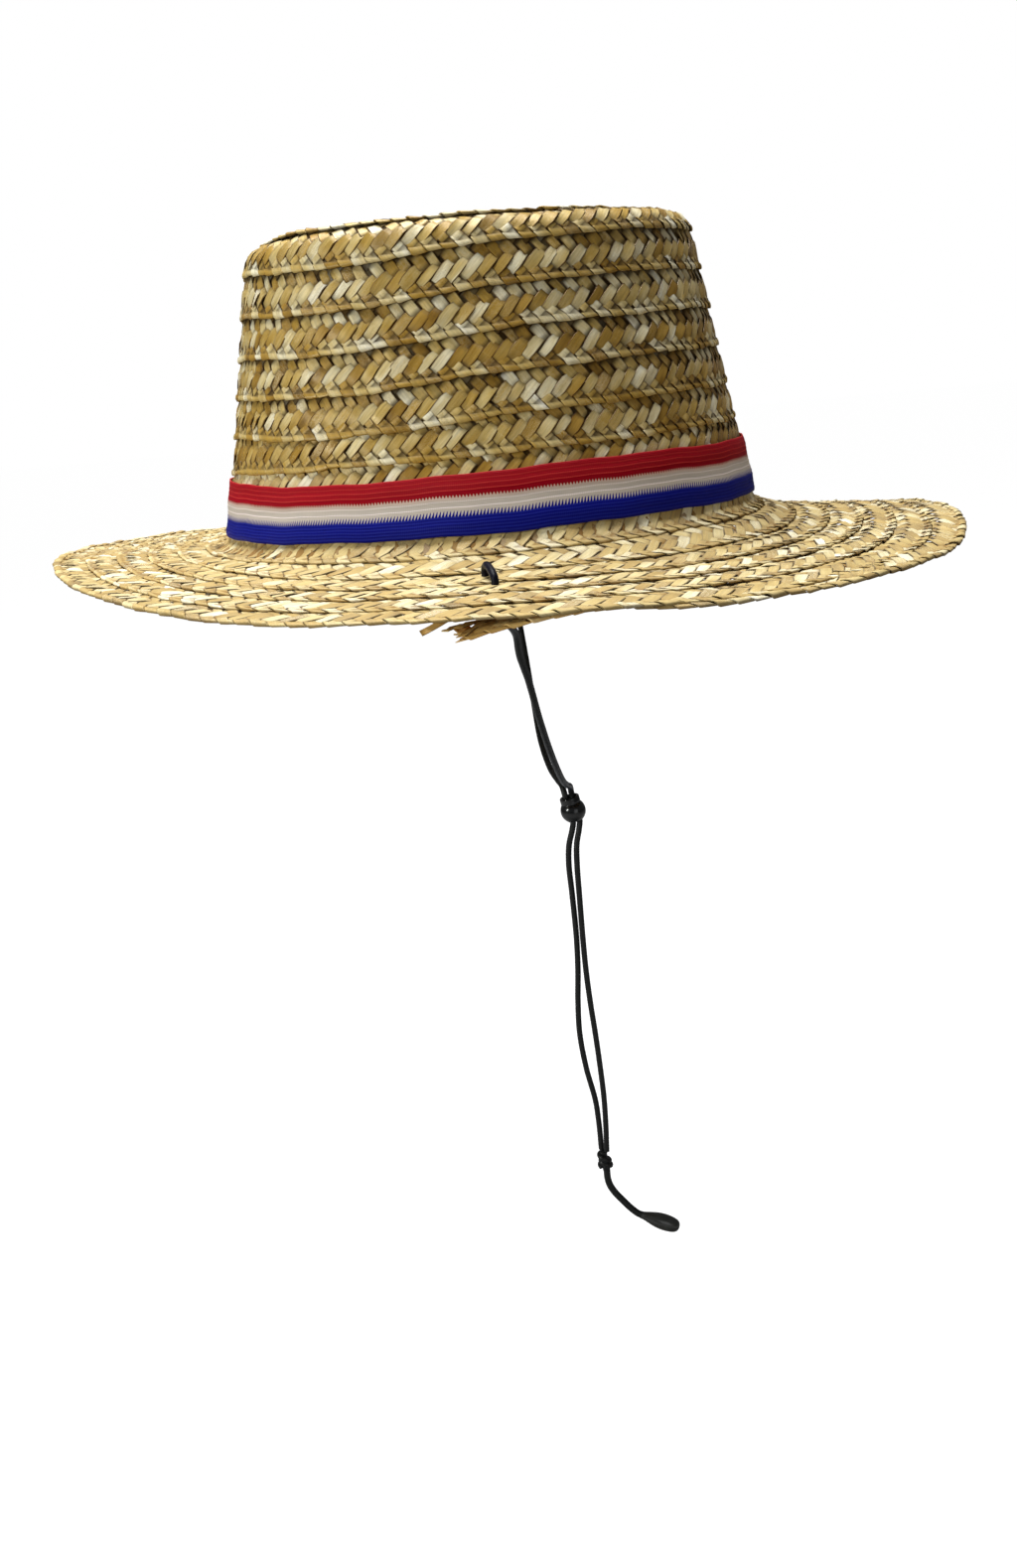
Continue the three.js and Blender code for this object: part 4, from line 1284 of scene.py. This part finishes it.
ribbon = {
    "low": 7.9,
    "high": 27.1,
    "clear": 0.25,
    "thick": 0.5,
    "selvedge": 0.18,  # how much thinner its edges are
    "foldBulge": 0.3,  # how far the folds of the straws push it out
    "lap": 0.075,
    "lapRides": 0.62,  # how far the upper layer stands off at the lap
    "slipped": [(150, 27, 1.9)],
    "edgeWave": ((93, 41, 17), (0.22, 0.16, 0.08)),  # how long (mm), how far
    "pucker": ((61, 29, 12), (0.05, 0.04, 0.025)),
    "puckerWide": 19.5,
    "perRadian": 95,  # mm along it for each radian round the crown
    "columns": 560,
    "rows": 30,
    "red": [(146, 0, 24), (226, 78, 70)],  # each stripe's ground, and its raised threads
    "white": [(190, 182, 174), (255, 246, 250)],
    "blue": [(0, 2, 112), (44, 56, 168)],
    "pinkish": (214, 160, 142),  # the white beside the red
    "redEnds": 6.95,
    "whiteEnds": 12.4,
    "tooth": 1.07,
    "roughness": 0.42,
    "shine": 0.06,
    # raised lines that run with the ribbon: share of its width, how much they show
    "lines": [
        (0.0, 0.75), (0.02, 0.1), (0.085, 0.1), (0.095, 0.6), (0.105, 0.1), (0.165, 0.1),
        (0.175, 0.75), (0.187, 0.1), (0.25, 0.1), (0.262, 0.85), (0.274, 0.0), (0.43, 0.1),
        (0.445, 0.7), (0.46, 0.1), (0.525, 0.1), (0.54, 1.0), (0.555, 0.1), (0.765, 0.1),
        (0.775, 0.6), (0.785, 0.1), (0.85, 0.1), (0.86, 0.6), (0.87, 0.1), (0.93, 0.1),
        (0.94, 0.5), (0.95, 0.1)],
}


def ribbonMaterial():
    material, tree, shader = newMaterial("woven_ribbon")
    along, down, layer = grainParts(tree)

    def ripple(value, length, phase=0.0):
        turned = mathNode(tree, "MULTIPLY_ADD", value, 2 * math.pi / length, phase)
        return mathNode(tree, "SINE", turned)

    def stripeEnd(teeth, deep, at, soft):
        # 0 above the edge of a stripe and 1 below it
        past = mathNode(tree, "MULTIPLY_ADD", teeth, deep, mathNode(tree, "SUBTRACT", down, at))
        return addNode(tree, "ShaderNodeMapRange", i0=past, i1=-soft, i2=soft).outputs[0]

    # soft teeth where the stripes meet
    leaning = mathNode(tree, "MULTIPLY", down, 1.6)
    pastRed = stripeEnd(ripple(along, ribbon["tooth"]), 0.42, ribbon["redEnds"], 0.08)
    pastWhite = stripeEnd(ripple(along, ribbon["tooth"], leaning), 0.92, ribbon["whiteEnds"], 0.12)
    wear = stretchedNoise(tree, along, down, layer, (0.02, 0.9), 3.0, 0.5)
    lines = colourRamp(tree, mathNode(tree, "DIVIDE", down, ribbon["high"] - ribbon["low"]),
                       [(at, (shows, shows, shows, 1)) for at, shows in ribbon["lines"]])
    dash = ripple(along, 0.62)
    dashed = mathNode(tree, "MULTIPLY", lines, mathNode(tree, "MULTIPLY_ADD", dash, 0.25, 0.75))
    ridge = mathNode(tree, "MULTIPLY_ADD", ripple(down, 1.02), 0.22,
                     mathNode(tree, "MULTIPLY_ADD", dash, 0.08, 0.22))
    red, white, blue = (
        mixColours(tree, share, *(paint(*seen) for seen in ribbon[stripe]))
        for stripe, share in (("red", dashed), ("white", dashed), ("blue", ridge)))
    pinkish = addNode(tree, "ShaderNodeMapRange", i0=down, i1=6.6, i2=8.6, i3=0.55, i4=0.0)
    white = mixColours(tree, pinkish.outputs[0], white, paint(*ribbon["pinkish"]))
    colour = mixColours(tree, pastWhite, mixColours(tree, pastRed, red, white), blue)
    shade = mathNode(tree, "MULTIPLY_ADD", wear, 0.5, 0.74)
    colour = mixColours(tree, 1.0, colour, shade, "MULTIPLY")
    height = mathNode(tree, "MULTIPLY_ADD", ripple(along, 0.36), 0.45,
                      mathNode(tree, "MULTIPLY", ripple(down, 0.52), 0.4))
    height = mathNode(tree, "MULTIPLY_ADD", lines, 1.6, height)
    dress(tree, shader, colour, height, 0.5, 0.00012)
    shader.inputs["Roughness"].default_value = ribbon["roughness"]
    shader.inputs["Specular IOR Level"].default_value = ribbon["shine"]
    return material


def makeRibbon():
    columns, rows, lap = ribbon["columns"], ribbon["rows"], ribbon["lap"]
    high, low = ribbon["high"], ribbon["low"]
    swing = np.linspace(-lap, 2 * math.pi + lap, columns)[:, None]
    # down the outside and up the inside
    down = np.linspace(0, 1, rows)
    down = np.concatenate([down, down[::-1]])[None, :]
    inner = np.repeat([0.0, 1.0], rows)[None, :]
    z = high + (low - high) * down
    along = swing * ribbon["perRadian"]
    z = z + wave(along, rng, *ribbon["edgeWave"])
    # it has slipped down a little on one side
    z = z - bumps(swing, ribbon["slipped"]) * (0.35 + 0.65 * (z - low) / (high - low))
    # the folds of the rows under it show through
    s = sideBegin + (cornerEnd - z) / math.cos(sideLean)
    turns = np.mod((math.pi - swing) / (2 * math.pi), 1.0)
    bulge = 0 * s
    for row in (10, 11, 12, 13):
        gap = s - outerEdge(row + turns + 0 * s) + 1.1
        bulge = np.maximum(bulge, np.exp(-(gap / 2.4) ** 2))
    across = down * (high - low) / math.cos(sideLean)
    relief = 0.06 * np.cos(2 * math.pi * across / 1.6)
    offset = ribbon["clear"] + ribbon["foldBulge"] * bulge
    # the selvedges are thin, and the upper layer rides up over the lower one at the lap
    edge = np.minimum(across, across.max() - across)
    thin = ribbon["selvedge"] * np.exp(-(edge / 0.35) ** 2)
    offset = offset + (ribbon["thick"] + relief - thin) * (1 - inner)
    lapped = smoothStep(2 * math.pi - lap - 0.06, 2 * math.pi - lap, swing)
    offset = offset + ribbon["lapRides"] * lapped
    pucker = wave(along, rng, *ribbon["pucker"])
    offset = offset + pucker * np.sin(math.pi * across / ribbon["puckerWide"])
    r = sideRadius(z) + offset * math.cos(sideLean)
    points = np.stack([r * np.cos(swing), (r + hatForm["oval"]) * np.sin(swing),
                       z + offset * math.sin(sideLean)], -1).reshape(-1, 3)
    grain = np.stack(np.broadcast_arrays(along, across, inner), -1).reshape(-1, 3)
    k = np.arange(rows - 1)
    end = np.stack([k, k + 1, 2 * rows - 2 - k, 2 * rows - 1 - k], 1)
    quads = np.vstack([gridFaces(columns, 2 * rows), end,
                       (columns - 1) * 2 * rows + end[:, ::-1]])
    obj = makePiece("ribbon_round_crown", points, quads, ribbonMaterial(), grain)
    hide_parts("hat_band")
    return obj


hatRibbon = makeRibbon()


# stage and light

stage = {
    "floorHeight": -0.42,
    "floorSize": 30.0,
    "bounce": 0.32,  # how much light the floor gives back
    "seenPale": 0.95,  # lifts the floor towards white in the view only
    "backWhite": 1.0,
    "skyLight": 0.12,
}


def seenOnly(tree, seen, otherwise):
    # one value where the camera looks straight at it, another for the light it gives
    looks = addNode(tree, "ShaderNodeLightPath").outputs["Is Camera Ray"]
    return mathNode(tree, "MULTIPLY_ADD", looks, seen - otherwise, otherwise)


def makeStage():
    half = stage["floorSize"] / 2
    z = stage["floorHeight"]
    mesh = bpy.data.meshes.new("floor")
    corners = [(-half, -half, z), (half, -half, z), (half, half, z), (-half, half, z)]
    mesh.from_pydata(corners, [], [(0, 1, 2, 3)])
    material, tree, shader = newMaterial("pale_floor")
    shader.inputs["Base Color"].default_value = (stage["bounce"],) * 3 + (1,)
    shader.inputs["Roughness"].default_value = 0.9
    shader.inputs["Emission Color"].default_value = (1, 1, 1, 1)
    tree.links.new(seenOnly(tree, stage["seenPale"], 0.0), shader.inputs["Emission Strength"])
    mesh.materials.append(material)
    floor = addObject("floor", mesh)


# place, size, watts, colour
lights = {
    "overhead": ((0.07, 0.13, 1.05), 0.7, 22.8, (1, 1, 1)),
    "back_side": ((-0.75, 1.15, 0.26), 0.25, 8.4, (0.97, 1, 0.96)),
    "front_fill": ((-1.3, -0.6, 0.05), 0.8, 1.5, (0.97, 0.98, 1)),
}
litPoint = Vector((0, 0, 0.02))


def makeLights():
    for name, (place, size, watts, colour) in lights.items():
        data = bpy.data.lights.new(name, "AREA")
        data.size = size
        data.energy = watts
        data.color = colour
        obj = addObject(name, data)
        obj.location = place
        aim = litPoint - Vector(place)
        obj.rotation_euler = aim.to_track_quat("-Z", "Y").to_euler()


def makeWorld():
    world = bpy.data.worlds.new("studio")
    world.use_nodes = True
    tree = world.node_tree
    background = tree.nodes["Background"]
    background.inputs["Color"].default_value = (1, 1, 1, 1)
    tree.links.new(seenOnly(tree, stage["backWhite"], stage["skyLight"]),
                   background.inputs["Strength"])
    bpy.context.scene.world = world


makeStage()
makeLights()
makeWorld()
bpy.context.scene.view_settings.view_transform = "Standard"
print("stage and lights set")
